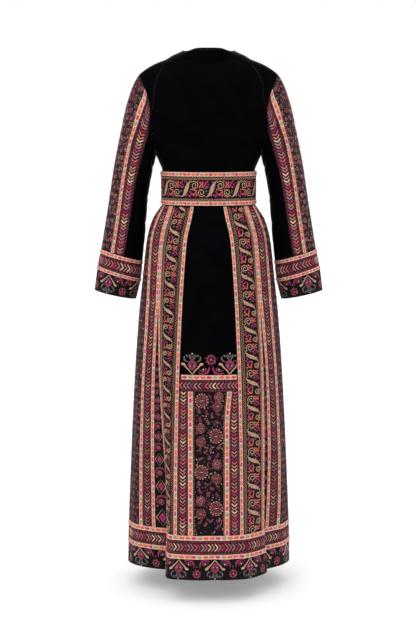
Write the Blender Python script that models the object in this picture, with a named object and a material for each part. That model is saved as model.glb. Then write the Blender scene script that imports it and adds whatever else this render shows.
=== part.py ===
"""Floor-length embroidered thobe dress in the pose it is worn, hollow, with its belt.

Metres, +Z up. The wearer faces +Y, so the back of the dress looks towards -Y. The origin lies
midway between the two shoulder points at the base of the neck, where the wearer carries the dress.
Every piece of cloth is a wall between an outer surface and the same surface moved inwards.
"""

import math

import bmesh
import bpy
import numpy as np

# Walls and clearances
VELVET = 0.0016
BAND_CLOTH = 0.0018
BRAID = 0.0010
GAP = 0.0003
ARMHOLE_GAP = 0.0006
BELT_EASE = 0.0005

# Heights
ARMPIT_Z = -0.2723
SHOULDER_TIP_Z = -0.0517
WAIST_Z = -0.3583
BELT_TOP_Z = -0.3136
BELT_FOOT_Z = -0.4030
BELT_BRAID = 0.0120
INSET_TOP_Z = -0.8530
INSET_BRAID_FOOT_Z = -0.8665
BORDER_TOP_Z = -1.2870
BORDER_BRAID_FOOT_Z = -1.3010
LOWER_BRAID_TOP_Z = -1.3370
LOWER_BRAID_FOOT_Z = -1.3500
HEM_Z = -1.4040

# Neck and shoulders
NECK_HALF = 0.0890
NECK_BACK_Z = -0.0200
NECK_FRONT_DROP = 0.1050
SHOULDER_TOP_Z = -0.0030
SHOULDER_SLOPE = 0.21
SHOULDER_ROUND = 16.37
SHOULDER_ROLL = 0.120
NECK_RISE, NECK_RISE_X, NECK_RISE_SPAN = 0.0085, 0.120, 0.032
SLIT_FOOT_Z = -0.2200
SLIT_HALF = 0.0015
COLLAR_BACK, COLLAR_SIDE, COLLAR_FRONT = 0.0365, 0.0235, 0.0200
COLLAR_STAND, COLLAR_SIDE_SLOPE = 0.86, 25.0

# Upper body, a row for each height: half width of the cut, depth behind and depth in front
BODY = [
    # z, half_width, back_depth, front_depth
    (-0.3583, 0.1262, 0.0935, 0.0905),
    (-0.3110, 0.1264, 0.0938, 0.0910),
    (-0.2925, 0.1335, 0.0962, 0.0985),
    (-0.2723, 0.1426, 0.0985, 0.1060),
    (-0.2400, 0.1660, 0.1010, 0.1130),
    (-0.2000, 0.1870, 0.1040, 0.1170),
    (-0.1700, 0.1950, 0.1060, 0.1150),
    (-0.1000, 0.1950, 0.1030, 0.1010),
    (0.0100, 0.1950, 0.0980, 0.0860),
]

# Armhole seam, from the armpit up to the shoulder tip
ARMHOLE = [
    # z, x
    (-0.2723, 0.1426),
    (-0.2400, 0.1475),
    (-0.2000, 0.1515),
    (-0.1480, 0.1555),
    (-0.1200, 0.1605),
    (-0.0920, 0.1705),
    (-0.0700, 0.1800),
    (-0.0517, 0.1866),
]

# Sleeve rings down the arm: outer and inner edge of each and half its depth
SLEEVE = [
    # outer_x, outer_z, inner_x, inner_z, half_depth
    (0.1866, -0.0517, 0.1426, -0.2723, 0.0670),
    (0.2009, -0.0745, 0.1476, -0.2918, 0.0675),
    (0.2146, -0.1081, 0.1532, -0.3136, 0.0670),
    (0.2266, -0.1484, 0.1579, -0.3381, 0.0650),
    (0.2378, -0.1997, 0.1630, -0.3654, 0.0620),
    (0.2496, -0.2538, 0.1670, -0.4009, 0.0590),
    (0.2613, -0.3163, 0.1710, -0.4447, 0.0560),
    (0.2742, -0.3981, 0.1751, -0.4941, 0.0530),
    (0.2881, -0.4804, 0.1803, -0.5409, 0.0510),
    (0.2962, -0.5271, 0.1826, -0.5602, 0.0510),
    (0.3059, -0.5740, 0.1876, -0.6100, 0.0515),
    (0.3156, -0.6405, 0.2008, -0.6655, 0.0515),
]
CUFF_TOP_RING = 9
SLEEVE_FORWARD = 0.020
CAP_BLEND = 0.14
CUFF_BANDS = (0.0, 0.012, 0.046, 0.057)
SLEEVE_BRAID = [
    # place, angles of the braid's two edges from the sleeve's outer edge
    (0.0, 50.0, 59.5),
    (0.8, 60.0, 71.0),
    (1.6, 66.0, 78.0),
    (2.6, 66.5, 77.0),
    (4.0, 63.0, 73.0),
    (9.0, 61.0, 70.5),
]
SLEEVE_BRAID_COLUMN = 3

# Skirt rings, a row for each height
SKIRT = [
    # z, half_width, back_depth, front_depth
    (-1.4040, 0.2235, 0.1130, 0.1850),
    (-1.2900, 0.2214, 0.1100, 0.1800),
    (-1.1760, 0.2173, 0.1130, 0.1730),
    (-0.9480, 0.2075, 0.1270, 0.1550),
    (-0.7239, 0.1932, 0.1430, 0.1380),
    (-0.5933, 0.1797, 0.1400, 0.1280),
    (-0.5010, 0.1689, 0.1300, 0.1180),
    (-0.4550, 0.1573, 0.1200, 0.1100),
    (-0.4326, 0.1468, 0.1110, 0.1030),
    (-0.4180, 0.1360, 0.1020, 0.0970),
    (-0.4060, 0.1275, 0.0950, 0.0920),
    (-0.3583, 0.1262, 0.0935, 0.0905),
]
SQUARENESS_HEM = 2.25

# The large pleat that carries the middle of the back forward of the sides
PLEAT_TOP_Z = -0.640
PLEAT_RISE = 0.0890
PLEAT_GROWTH = 1.5
PLEAT_LEFT_ANGLES = (-55.0, -46.5)
PLEAT_LEFT_ROUND = 24.0
PLEAT_RIGHT_START, PLEAT_RIGHT_FALL = 24.0, 56.0
PLEAT_RIGHT_ANGLES = (60.0, 52.0)
PLEAT_RIGHT_KEEP = 0.40
PLEAT_EDGE = 3.5
CREASE_SPAN = 0.0050

# Soft flutes of the sides and front: angle, half width in degrees, height at the hem, where each starts
FLUTES = [
    # angle, half_width, height, top_z
    (-92.0, 16.0, 0.0030, -0.70),
    (96.0, 18.0, 0.0050, -0.66),
    (-124.0, 14.0, 0.0130, -0.60),
    (128.0, 15.0, 0.0120, -0.64),
    (-154.0, 15.0, 0.0140, -0.56),
    (157.0, 16.0, 0.0130, -0.58),
    (4.0, 9.0, -0.0040, -0.90),
]

# Widths of the skirt's strips at the waist and at the hem
HALF_CENTRE = [
    # z, half width of the middle back panel
    (-1.2900, 0.0860),
    (-1.1040, 0.0845),
    (-0.9710, 0.0820),
    (-0.8360, 0.0785),
    (-0.7300, 0.0740),
    (-0.6500, 0.0700),
    (-0.5700, 0.0650),
    (-0.4910, 0.0580),
    (-0.4135, 0.0410),
    (-0.3583, 0.0340),
]
HALF_FRONT = [
    # z, half width of the middle front panel
    (-1.2900, 0.1180),
    (-0.7300, 0.0980),
    (-0.4910, 0.0740),
    (-0.3583, 0.0450),
]
STRIP_WIDTHS = [
    # z, wide_braid, zigzag, edge_zigzag, edge_braid, side_braid, chevron, thin_braid
    (-1.2900, 0.0100, 0.0115, 0.0070, 0.0066, 0.0110, 0.0300, 0.0120),
    (-0.8000, 0.0100, 0.0115, 0.0070, 0.0062, 0.0100, 0.0265, 0.0110),
    (-0.5000, 0.0100, 0.0115, 0.0090, 0.0060, 0.0095, 0.0290, 0.0120),
    (-0.3583, 0.0085, 0.0095, 0.0070, 0.0050, 0.0080, 0.0200, 0.0080),
]
STRIP_COLUMN = {
    "wide_braid": 1, "zigzag": 2, "edge_zigzag": 3, "edge_braid": 4,
    "side_braid": 5, "chevron": 6, "thin_braid": 7,
}
SCROLL_WIDTH = [
    # z, on the left, on the right
    (-1.2900, 0.0450, 0.0510),
    (-1.1400, 0.0330, 0.0480),
    (-1.0000, 0.0290, 0.0460),
    (-0.8600, 0.0315, 0.0450),
    (-0.6600, 0.0370, 0.0415),
    (-0.5000, 0.0405, 0.0410),
    (-0.3583, 0.0320, 0.0320),
]
GODET_HEM = {-1: 0.053, 1: 0.037}
GODET_TOP_Z = -0.6800
GODET_POINT = 0.0012
INSET_BRAID_LEFT = (-0.0560, -0.0420)
INSET_BRAID_RIGHT = (0.0430, 0.0565)
INSET_BRAID_SHIFT = 0.0095
INSET_SHIFT_FOOT_Z = -0.990

SKIRT_ROWS = (
    -0.3583, -0.4060, -0.4200, -0.4360, -0.4650, -0.5200, -0.6000, GODET_TOP_Z + 0.0050,
    GODET_TOP_Z, -0.7600, INSET_TOP_Z, -0.9600, -1.0700, -1.1800, BORDER_TOP_Z,
)
PANEL_SPLIT_Z = -0.4650
INSET_ROWS = (
    INSET_TOP_Z, INSET_BRAID_FOOT_Z, -0.8935, -0.9600, -1.0700, -1.1800, BORDER_TOP_Z,
)
BORDER_ROWS = (BORDER_TOP_Z, BORDER_BRAID_FOOT_Z, LOWER_BRAID_TOP_Z, LOWER_BRAID_FOOT_Z, HEM_Z)

COLOURS = {
    # slot: (red, green, blue, roughness)
    "velvet": (0.012, 0.010, 0.012, 0.85),
    "wine_embroidery": (0.150, 0.030, 0.060, 0.75),
    "gold_embroidery": (0.300, 0.170, 0.110, 0.75),
    "braid": (0.720, 0.440, 0.290, 0.65),
}


def smooth(t):
    """0 to 1 with flat ends."""
    t = np.clip(t, 0.0, 1.0)
    return t * t * (3.0 - 2.0 * t)


def eased(rows, column, z):
    """A column of a table, read at height z, on a curve with no overshoot between its rows."""
    rows = sorted(rows)
    knots = np.array([row[0] for row in rows])
    values = np.array([row[column] for row in rows])
    step = np.diff(knots)
    slope = np.diff(values) / step
    tangent = np.zeros(len(knots))
    tangent[0], tangent[-1] = slope[0], slope[-1]
    for i in range(1, len(knots) - 1):
        if slope[i - 1] * slope[i] > 0:
            tangent[i] = 2.0 / (1.0 / slope[i - 1] + 1.0 / slope[i])
    z = np.clip(z, knots[0], knots[-1])
    i = np.clip(np.searchsorted(knots, z) - 1, 0, len(step) - 1)
    t = (z - knots[i]) / step[i]
    return (
        values[i] * (1 + 2 * t) * (1 - t) ** 2
        + tangent[i] * step[i] * t * (1 - t) ** 2
        + values[i + 1] * t * t * (3 - 2 * t)
        + tangent[i + 1] * step[i] * t * t * (t - 1)
    )


def grid_normals(points, closed):
    """Unit normals of a grid of points, rows running down and columns running to the right."""
    along = np.gradient(points, axis=0)
    if closed:
        across = (np.roll(points, -1, axis=1) - np.roll(points, 1, axis=1)) / 2
    else:
        across = np.gradient(points, axis=1)
    normal = np.cross(along, across)
    return normal / np.linalg.norm(normal, axis=2, keepdims=True)


# Skirt


def pleat(angle, z):
    """How far the back pleat lifts the cloth off the plain ring, at angles in degrees from centre back."""
    down = np.clip((PLEAT_TOP_Z - z) / (PLEAT_TOP_Z - HEM_Z), 0.0, 1.0)
    left = PLEAT_LEFT_ANGLES[0] + (PLEAT_LEFT_ANGLES[1] - PLEAT_LEFT_ANGLES[0]) * down
    right = PLEAT_RIGHT_ANGLES[0] + (PLEAT_RIGHT_ANGLES[1] - PLEAT_RIGHT_ANGLES[0]) * down
    rise_left = smooth((angle - left + 5.5) / PLEAT_LEFT_ROUND)
    fall_right = 1.0 - smooth((angle - PLEAT_RIGHT_START) / PLEAT_RIGHT_FALL)
    gate_left = smooth((angle - left) / PLEAT_EDGE)
    gate_right = 1.0 - (1.0 - PLEAT_RIGHT_KEEP) * smooth((angle - right) / PLEAT_EDGE)
    return PLEAT_RISE * down**PLEAT_GROWTH * rise_left * fall_right * gate_left * gate_right


def skirt_ring(angle, z):
    """Points of the skirt's outside at height z, at angles in degrees from centre back towards +X."""
    half_width = eased(SKIRT, 1, z)
    back = eased(SKIRT, 2, z)
    front = eased(SKIRT, 3, z)
    turn = np.radians(angle)
    power = 2.0 + (SQUARENESS_HEM - 2.0) * smooth((WAIST_Z - z) / (WAIST_Z - HEM_Z))
    depth = np.where(np.cos(turn) > 0, back, front)
    sides = np.abs(np.sin(turn) / half_width) ** power
    ends = np.abs(np.cos(turn) / depth) ** power
    radius = (sides + ends) ** (-1.0 / power) + pleat(angle, z)
    for centre, half, height, top in FLUTES:
        away = (angle - centre + 180.0) % 360.0 - 180.0
        down = np.clip((top - z) / (top - HEM_Z), 0.0, 1.0)
        radius = radius + height * down**1.2 * smooth(1.0 - np.abs(away) / half)
    return np.stack(
        [radius * np.sin(turn), -radius * np.cos(turn), np.full_like(turn, z)], axis=-1
    )


def skirt_row(z, distances):
    """Points at distances in metres round the skirt from centre back, + towards +X, and their normals."""
    angles = np.linspace(-540.0, 540.0, 6481)
    ring = skirt_ring(angles, z)
    lower = skirt_ring(angles, z - 0.002)
    gone = np.concatenate([[0.0], np.cumsum(np.linalg.norm(np.diff(ring, axis=0), axis=1))])
    gone -= gone[len(angles) // 2]

    def read(curve, at):
        return np.stack([np.interp(at, gone, curve[:, k]) for k in range(3)], axis=-1)

    points = read(ring, distances)
    down = read(lower - ring, distances)
    across = read(ring, distances + CREASE_SPAN) - read(ring, distances - CREASE_SPAN)
    normals = np.cross(down, across)
    return points, normals / np.linalg.norm(normals, axis=1, keepdims=True)


def half_girths(z):
    """Distance round the skirt from centre back to centre front, on the left and on the right."""
    girth = {}
    for side in (-1, 1):
        ring = skirt_ring(np.linspace(0.0, 180.0 * side, 1081), z)
        girth[side] = float(np.linalg.norm(np.diff(ring, axis=0), axis=1).sum())
    return girth


def strip_width(name, side, z):
    """A strip's width at height z."""
    if name == "scroll":
        return float(eased(SCROLL_WIDTH, 1 if side < 0 else 2, z))
    return float(eased(STRIP_WIDTHS, STRIP_COLUMN[name], z))


def godet_width(side, z):
    """Width of the godet set in behind the pleat's edge, from a point to its width at the hem."""
    if z > GODET_TOP_Z:
        return 0.0
    down = (GODET_TOP_Z - z) / (GODET_TOP_Z - HEM_Z)
    return GODET_POINT + (GODET_HEM[side] - GODET_POINT) * down


BACK_STRIPS = ("wide_braid", "zigzag", "scroll", "edge_zigzag", "edge_braid")
SIDE_STRIPS = ("side_braid", "chevron", "thin_braid")


def strip_edges(side, z):
    """Named distances from centre back of every strip edge on one side of the skirt."""
    edges = {"centre": float(eased(HALF_CENTRE, 1, z))}
    at = edges["centre"]
    for name in BACK_STRIPS:
        at += strip_width(name, side, z)
        edges[name] = at
    at += godet_width(side, z)
    edges["godet"] = at
    for name in SIDE_STRIPS:
        at += strip_width(name, side, z)
        edges[name] = at
    girth = half_girths(z)[side]
    front = [name for name in reversed(BACK_STRIPS + SIDE_STRIPS)]
    at = girth - float(eased(HALF_FRONT, 1, z)) - sum(strip_width(name, side, z) for name in front)
    edges["floral"] = at
    for name in front:
        at += strip_width(name, side, z)
        edges["front_" + name] = at
    edges["front_centre"] = girth
    return edges


# Cells across each strip of the skirt, from centre back to centre front
STRIP_CELLS = {
    "wide_braid": 1, "zigzag": 1, "scroll": 3, "edge_zigzag": 1, "edge_braid": 1, "godet": 5,
    "side_braid": 1, "chevron": 2, "thin_braid": 1, "floral": 6,
    "front_thin_braid": 1, "front_chevron": 2, "front_side_braid": 1,
    "front_edge_braid": 1, "front_edge_zigzag": 1, "front_scroll": 3, "front_zigzag": 1,
    "front_wide_braid": 1, "front_centre": 4,
}
PANELS = {
    # panel: (first strip, last strip)
    "scroll_panel": ("wide_braid", "edge_braid"),
    "godet": ("godet", "godet"),
    "side_panel": ("side_braid", "front_side_braid"),
    "front_scroll_panel": ("front_edge_braid", "front_wide_braid"),
}


def skirt_columns(side, z, first, last):
    """Distances of the columns from the first strip's inner edge to the last strip's outer edge."""
    edges = strip_edges(side, z)
    names = list(edges)
    start, end = names.index(first), names.index(last)
    columns = [edges[names[start - 1]]]
    for name in names[start : end + 1]:
        low, high = columns[-1], edges[name]
        cells = STRIP_CELLS[name]
        columns += [low + (high - low) * (k + 1) / cells for k in range(cells)]
    return columns


# Mesh making


def wall(name, slot, outer, normals, thickness, closed=False, lift=0.0):
    """A closed wall: the outer grid moved out by lift, the same grid moved in by thickness, and its edges."""
    rows, columns = outer.shape[:2]
    skins = [outer + normals * lift, outer + normals * (lift - thickness)]
    count = rows * columns
    points = np.concatenate([skin.reshape(-1, 3) for skin in skins])
    faces = []

    def quad(a, b, c, d):
        faces.append((a, b, c))
        faces.append((a, c, d))

    spans = columns if closed else columns - 1
    for r in range(rows - 1):
        for c in range(spans):
            right = (c + 1) % columns
            a, b = r * columns + c, (r + 1) * columns + c
            d, e = (r + 1) * columns + right, r * columns + right
            quad(a, b, d, e)
            quad(count + a, count + e, count + d, count + b)
    for c in range(spans):
        right = (c + 1) % columns
        quad(c, right, count + right, count + c)
        foot = (rows - 1) * columns
        quad(foot + c, count + foot + c, count + foot + right, foot + right)
    if not closed:
        for r in range(rows - 1):
            a, b = r * columns, (r + 1) * columns
            quad(a, count + a, count + b, b)
            quad(a + columns - 1, b + columns - 1, count + b + columns - 1, count + a + columns - 1)
    return solid(name, slot, points, faces)


def solid(name, slot, points, faces):
    """One named object with its own material."""
    mesh = bpy.data.meshes.new(name)
    mesh.from_pydata([tuple(p) for p in points], [], faces)
    shape = bmesh.new()
    shape.from_mesh(mesh)
    bmesh.ops.recalc_face_normals(shape, faces=shape.faces)
    shape.to_mesh(mesh)
    shape.free()
    made = bpy.data.objects.new(name, mesh)
    bpy.context.scene.collection.objects.link(made)
    red, green, blue, roughness = COLOURS[slot]
    material = bpy.data.materials.get(slot) or bpy.data.materials.new(slot)
    material.use_nodes = True
    shader = material.node_tree.nodes["Principled BSDF"]
    shader.inputs["Base Color"].default_value = (red, green, blue, 1.0)
    shader.inputs["Roughness"].default_value = roughness
    shader.inputs["Metallic"].default_value = 0.0
    mesh.materials.append(material)
    mesh.shade_smooth()
    mesh.set_sharp_from_angle(angle=math.radians(50))
    return made


def skirt_wall(name, slot, side, heights, column_maker, thickness, lift=0.0, trim=GAP / 2):
    """A wall on the skirt between heights, its columns given by column_maker(z), parted at its edges by trim."""
    points, normals = [], []
    for i, z in enumerate(heights):
        inward = trim if i == 0 else -trim if i == len(heights) - 1 else 0.0
        at = np.array(column_maker(z), float)
        at[0] += trim
        at[-1] -= trim
        row, normal = skirt_row(z - inward, at * side)
        points.append(row)
        normals.append(normal)
    return wall(name, slot, np.array(points), np.array(normals), thickness, lift=lift)


def side_name(side):
    return "left" if side < 0 else "right"


def panel_rows(panel):
    """Row heights of a panel's solids. A scroll panel is two, so that neither bends round the hips."""
    rows = [z for z in SKIRT_ROWS if panel != "godet" or z <= GODET_TOP_Z]
    if "scroll" not in panel:
        return {panel: rows}
    split = rows.index(PANEL_SPLIT_Z)
    return {f"{panel}_upper": rows[: split + 1], f"{panel}_lower": rows[split:]}


def build_skirt_panels():
    """Velvet and embroidered panels, each between its own strip edges, from the waist to the border."""
    slots = {
        "scroll_panel": "gold_embroidery",
        "godet": "wine_embroidery",
        "side_panel": "wine_embroidery",
        "front_scroll_panel": "gold_embroidery",
    }
    for side in (-1, 1):
        for panel, (first, last) in PANELS.items():
            columns = lambda z: skirt_columns(side, z, first, last)
            for name, rows in panel_rows(panel).items():
                skirt_wall(f"{name}_{side_name(side)}", slots[panel], side, rows, columns, VELVET)


def centre_columns(z, cells):
    half = float(eased(HALF_CENTRE, 1, z))
    return np.linspace(-half, half, cells + 1)


def build_centre_panels():
    """The middle back panel in velvet, the embroidered inset below it, and the middle front panel."""
    upper = [z for z in SKIRT_ROWS if z >= INSET_TOP_Z]
    skirt_wall("back_centre_panel", "velvet", 1, upper, lambda z: centre_columns(z, 8), VELVET)
    skirt_wall("back_inset", "wine_embroidery", 1, INSET_ROWS, inset_columns, VELVET)
    points, normals = [], []
    for i, z in enumerate(SKIRT_ROWS):
        inward = GAP / 2 if i == 0 else -GAP / 2 if i == len(SKIRT_ROWS) - 1 else 0.0
        girth = half_girths(z)
        right = girth[1] - strip_edges(1, z)["front_wide_braid"] - GAP / 2
        left = girth[-1] - strip_edges(-1, z)["front_wide_braid"] - GAP / 2
        first, first_normal = skirt_row(z - inward, girth[1] - np.linspace(right, 0.0, 5))
        second, second_normal = skirt_row(z - inward, -girth[-1] + np.linspace(0.0, left, 5))
        points.append(np.concatenate([first, second[1:]]))
        normals.append(np.concatenate([first_normal, second_normal[1:]]))
    wall("front_centre_panel", "velvet", np.array(points), np.array(normals), VELVET)


def inset_columns(z):
    """The inset's columns, with a cell under each of its two braids."""
    half = float(eased(HALF_CENTRE, 1, z))
    shift = INSET_BRAID_SHIFT * (1.0 - smooth((INSET_TOP_Z - z) / (INSET_TOP_Z - INSET_SHIFT_FOOT_Z)))
    left_out, left_in = INSET_BRAID_LEFT
    right_in, right_out = (edge + shift for edge in INSET_BRAID_RIGHT)
    return [-half, left_out, left_in, (left_in + right_in) / 2, right_in, right_out, half]


def braid_strip(name, side, heights, column_maker, first):
    """A braid over one cell of a panel, from the panel's own points."""
    points, normals = [], []
    for z in heights:
        at = np.array(column_maker(z), float)[first : first + 2]
        row, normal = skirt_row(z, at * side)
        points.append(row)
        normals.append(normal)
    points, normals = np.array(points), np.array(normals)
    shrink = (points[:, 1:] - points[:, :1]) * 0.03
    points = np.concatenate([points[:, :1] + shrink, points[:, 1:] - shrink], axis=1)
    return wall(name, "braid", points, normals, BRAID, lift=GAP + BRAID)


def build_skirt_braids():
    """Braids beside the middle panels and along the sides, and those that frame the inset."""
    below_belt = [z for z in SKIRT_ROWS if z <= -0.4060]
    below_belt[-1] += 0.0010
    for side in (-1, 1):
        for where, first_strip in (
            ("back_braid", "wide_braid"),
            ("side_braid", "side_braid"),
            ("front_side_braid", "front_side_braid"),
            ("front_braid", "front_wide_braid"),
        ):
            braid_strip(
                f"{where}_{side_name(side)}",
                side,
                below_belt,
                lambda z, s=side, f=first_strip: skirt_columns(s, z, f, f),
                0,
            )
    lower = [*INSET_ROWS[2:-1], BORDER_TOP_Z + 0.0010]
    braid_strip("inset_braid_left", 1, lower, inset_columns, 1)
    braid_strip("inset_braid_right", 1, lower, inset_columns, 4)
    points, normals = [], []
    for z in (INSET_TOP_Z - GAP, INSET_BRAID_FOOT_Z):
        row, normal = skirt_row(z, trimmed(inset_columns(z)))
        points.append(row)
        normals.append(normal)
    wall("inset_top_braid", "braid", np.array(points), np.array(normals), BRAID, lift=GAP + BRAID)


def trimmed(columns):
    """Columns whose ends stay 1 mm short, so that what lies on the panel clears the braids beside it."""
    columns = np.array(columns, float)
    columns[0] += 0.0010
    columns[-1] -= 0.0010
    return columns


def border_columns(z):
    """Columns all round the skirt, as signed distances from centre back."""
    around = []
    right = skirt_columns(1, z, "wide_braid", "front_centre")
    left = skirt_columns(-1, z, "wide_braid", "front_centre")
    middle = list(np.linspace(-left[0], right[0], 8))[1:-1]
    around += [-d for d in reversed(left)]
    around += middle
    around += right[:-1]
    return np.array(around)


def build_border():
    """The embroidered hem border all round, with a braid at its top and one under its chevrons."""
    rows = [skirt_row(z - (GAP / 2 if i == 0 else 0.0), border_columns(z)) for i, z in enumerate(BORDER_ROWS)]
    points = np.array([row[0] for row in rows])
    normals = np.array([row[1] for row in rows])
    wall("hem_border", "wine_embroidery", points, normals, BAND_CLOTH, closed=True)
    for name, first in (("border_braid_upper", 0), ("border_braid_lower", 2)):
        band, band_normals = points[first : first + 2], normals[first : first + 2]
        wall(name, "braid", band, band_normals, BRAID, closed=True, lift=GAP + BRAID)


# Upper body


def shoulder_height(x):
    """Height of the shoulder seam at distance x from the middle."""
    beyond = np.maximum(np.abs(x) - 0.072, 0.0)
    rise = NECK_RISE * smooth((NECK_RISE_X - np.abs(x)) / NECK_RISE_SPAN)
    return SHOULDER_TOP_Z + rise - SHOULDER_SLOPE * beyond - SHOULDER_ROUND * beyond**3


def neckline(x, face):
    """Height of the neck seam, face -1 at the back and +1 in front."""
    side = float(shoulder_height(NECK_HALF))
    inside = np.clip(1.0 - (np.abs(x) / NECK_HALF) ** 2, 0.0, 1.0)
    if face < 0:
        return side + (NECK_BACK_Z - side) * inside**0.6
    return side - NECK_FRONT_DROP * inside**0.5


def half_turn(z):
    """Angle round the body where a panel ends: 90 degrees at the side seam, less along the armhole."""
    reach = eased(ARMHOLE, 1, z) / eased(BODY, 1, z)
    return np.where(z > ARMPIT_Z, np.arcsin(np.clip(reach, 0.0, 1.0)), math.pi / 2)


def body_point(u, z, face):
    """A point of the upper body: u runs from -1 to 1 between the side edges, face is -1 or +1."""
    turn = u * half_turn(z)
    x = eased(BODY, 1, z) * np.sin(turn)
    depth = eased(BODY, 2 if face < 0 else 3, z) * np.cos(turn)
    below = np.clip((shoulder_height(x) - z) / SHOULDER_ROLL, 0.0, 1.0)
    roll = np.sqrt(np.clip(1.0 - (1.0 - below) ** 2, 0.0, 1.0))
    return np.stack([x, face * (GAP / 2 + depth * roll), z], axis=-1)


def body_normal(u, z, face):
    """Outward normal of the upper body, square to the seams where back and front meet."""
    above = np.minimum(z + 0.001, shoulder_height(body_point(u, z, face)[..., 0]))
    down = body_point(u, above - 0.004, face) - body_point(u, above, face)
    across = body_point(u + 0.004, z, face) - body_point(u - 0.004, z, face)
    normal = np.cross(down, across)
    point = body_point(u, z, face)
    away = point * np.array([1.0, 1.0, 0.0]) + np.array([0.0, 0.0, 0.05])
    normal *= np.sign(np.sum(normal * away, axis=-1, keepdims=True))
    on_seam = np.abs(point[..., 1]) < 0.002
    normal[..., 1] = np.where(on_seam, 0.0, normal[..., 1])
    return normal / np.linalg.norm(normal, axis=-1, keepdims=True)


def top_edge(u, face):
    """Height where the column u meets the shoulder seam or the neckline."""
    z = np.full_like(u, SHOULDER_TIP_Z)
    for _ in range(60):
        x = np.abs(eased(BODY, 1, z) * np.sin(u * half_turn(z)))
        top = np.where(x < NECK_HALF, neckline(x, face), shoulder_height(x))
        z = z + 0.4 * (top - z)
    return z


def neck_columns():
    """Columns under the neck seam, from its shoulder end to the middle."""
    z = float(shoulder_height(NECK_HALF))
    end = float(np.arcsin(NECK_HALF / eased(BODY, 1, z)) / half_turn(z))
    return end * np.sin(np.linspace(1.0, 0.0, 7) * math.pi / 2)


def bodice_columns():
    """Columns from one side to the middle, closer together round the neck."""
    neck = neck_columns()
    return np.concatenate([np.linspace(1.0, neck[0], 6)[:-1], neck])


BODICE_DROP = np.linspace(0.0, 1.0, 9) ** 1.6
BODICE_FOOT_ROWS = (-0.2925, -0.3110, WAIST_Z + GAP / 2)


def bodice_grid(columns, face):
    """Rows from the shoulder and neck down to the waist seam, for the given columns."""
    top = top_edge(columns, face)
    z = top[None, :] + (ARMPIT_Z - top[None, :]) * BODICE_DROP[:, None]
    foot = np.repeat(np.array(BODICE_FOOT_ROWS)[:, None], len(columns), axis=1)
    z = np.concatenate([z, foot])
    u = np.broadcast_to(columns, z.shape)
    return body_point(u, z, face), body_normal(u, z, face)


def build_bodice():
    """Back bodice in one piece and two front pieces parted by the neck slit."""
    half = bodice_columns()
    columns = np.concatenate([-half, half[::-1][1:]])
    wall("back_bodice", "velvet", *bodice_grid(columns, -1), VELVET)
    for side in (-1, 1):
        front, normals = bodice_grid(half * side, 1)
        part = SLIT_HALF * smooth((front[:, -1, 2] - SLIT_FOOT_Z) / 0.03)
        front[:, -1, 0] += side * np.maximum(part, GAP / 2)
        normals[:, -1, 0] = 0.0
        normals[:, -1] /= np.linalg.norm(normals[:, -1], axis=1, keepdims=True)
        wall(f"front_bodice_{side_name(side)}", "velvet", front, normals, VELVET)


def build_collar():
    """A band round the neck that stands at the back and lies flat towards the slit in front."""
    neck = neck_columns()
    seam = []
    for columns, face in (
        (-neck[::-1], 1),
        (-neck[1:], -1),
        (neck[::-1][1:-1], -1),
        (neck, 1),
    ):
        points, normals = bodice_grid(columns, face)
        seam += list(zip(points[0], normals[0]))
    base = np.array([point for point, normal in seam])
    base_normal = np.array([normal for point, normal in seam])
    base[0, 0], base[-1, 0] = -SLIT_HALF, SLIT_HALF
    back = np.where(base[:, 1:2] < 0.001, 1.0, 0.0)
    along = np.gradient(base, axis=0)
    beyond = np.cross(along, base_normal)
    beyond *= np.sign(beyond[len(neck) + 5, 2])
    beyond /= np.linalg.norm(beyond, axis=1, keepdims=True)
    forward = smooth((base[:, 1:2] + 0.02) / 0.10)
    side = np.abs(base[:, :1] / NECK_HALF) ** 2
    stand = COLLAR_STAND * (1.0 - forward)
    rise = beyond * (1.0 - stand) + np.array([0.0, 0.0, 1.0]) * stand
    slope = math.radians(COLLAR_SIDE_SLOPE)
    inward = np.zeros_like(base)
    inward[:, 0] = -np.sign(base[:, 0]) * math.cos(slope)
    inward[:, 2] = math.sin(slope)
    rise = rise * (1.0 - side) + inward * side
    rise /= np.linalg.norm(rise, axis=1, keepdims=True)
    middle = np.where(back > 0, COLLAR_BACK, COLLAR_FRONT)
    height = middle + (COLLAR_SIDE - middle) * side
    base = base + beyond * GAP
    grid = np.array([base + rise * height * share for share in (1.0, 0.5, 0.0)])
    normals = grid_normals(grid, False)
    normals *= np.sign(np.sum(normals[2] * base_normal))
    normals[2] = base_normal
    wall("collar", "velvet", grid, normals, VELVET)


# Sleeves


def sleeve_angles(place):
    """Columns round a sleeve, 0 at its outer edge and 90 at the back, with a cell under each braid."""
    braid = [float(eased(SLEEVE_BRAID, k, place)) for k in (1, 2)]
    half = [0.0, 21.0, 43.0, *braid, 90.0, 106.0, 123.0, 142.0, 161.0, 180.0]
    return np.array(half + [360.0 - a for a in reversed(half[1:-1])])


def armhole_ring(turns):
    """The armhole seam as a ring: back from the shoulder tip to the armpit, then up the front."""
    middle, half = (SHOULDER_TIP_Z + ARMPIT_Z) / 2, (SHOULDER_TIP_Z - ARMPIT_Z) / 2
    z = middle + half * np.cos(turns)
    ring = []
    for turn, height in zip(turns, z):
        face = -1 if math.sin(turn) >= 0 else 1
        ring.append(body_point(np.array(1.0), np.array(height), face))
    return np.array(ring)


def sleeve_ring(turns, place):
    """A ring of the right sleeve, place counting the rows of SLEEVE from the armhole."""
    stations = [(i, *row) for i, row in enumerate(SLEEVE)]
    outer_x, outer_z, inner_x, inner_z, depth = (eased(stations, k, place) for k in range(1, 6))
    forward = SLEEVE_FORWARD * smooth(place / (len(SLEEVE) - 1))
    across = (1.0 + np.cos(turns)) / 2
    return np.stack(
        [
            inner_x + (outer_x - inner_x) * across,
            forward - depth * np.sin(turns),
            inner_z + (outer_z - inner_z) * across,
        ],
        axis=-1,
    )


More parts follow.
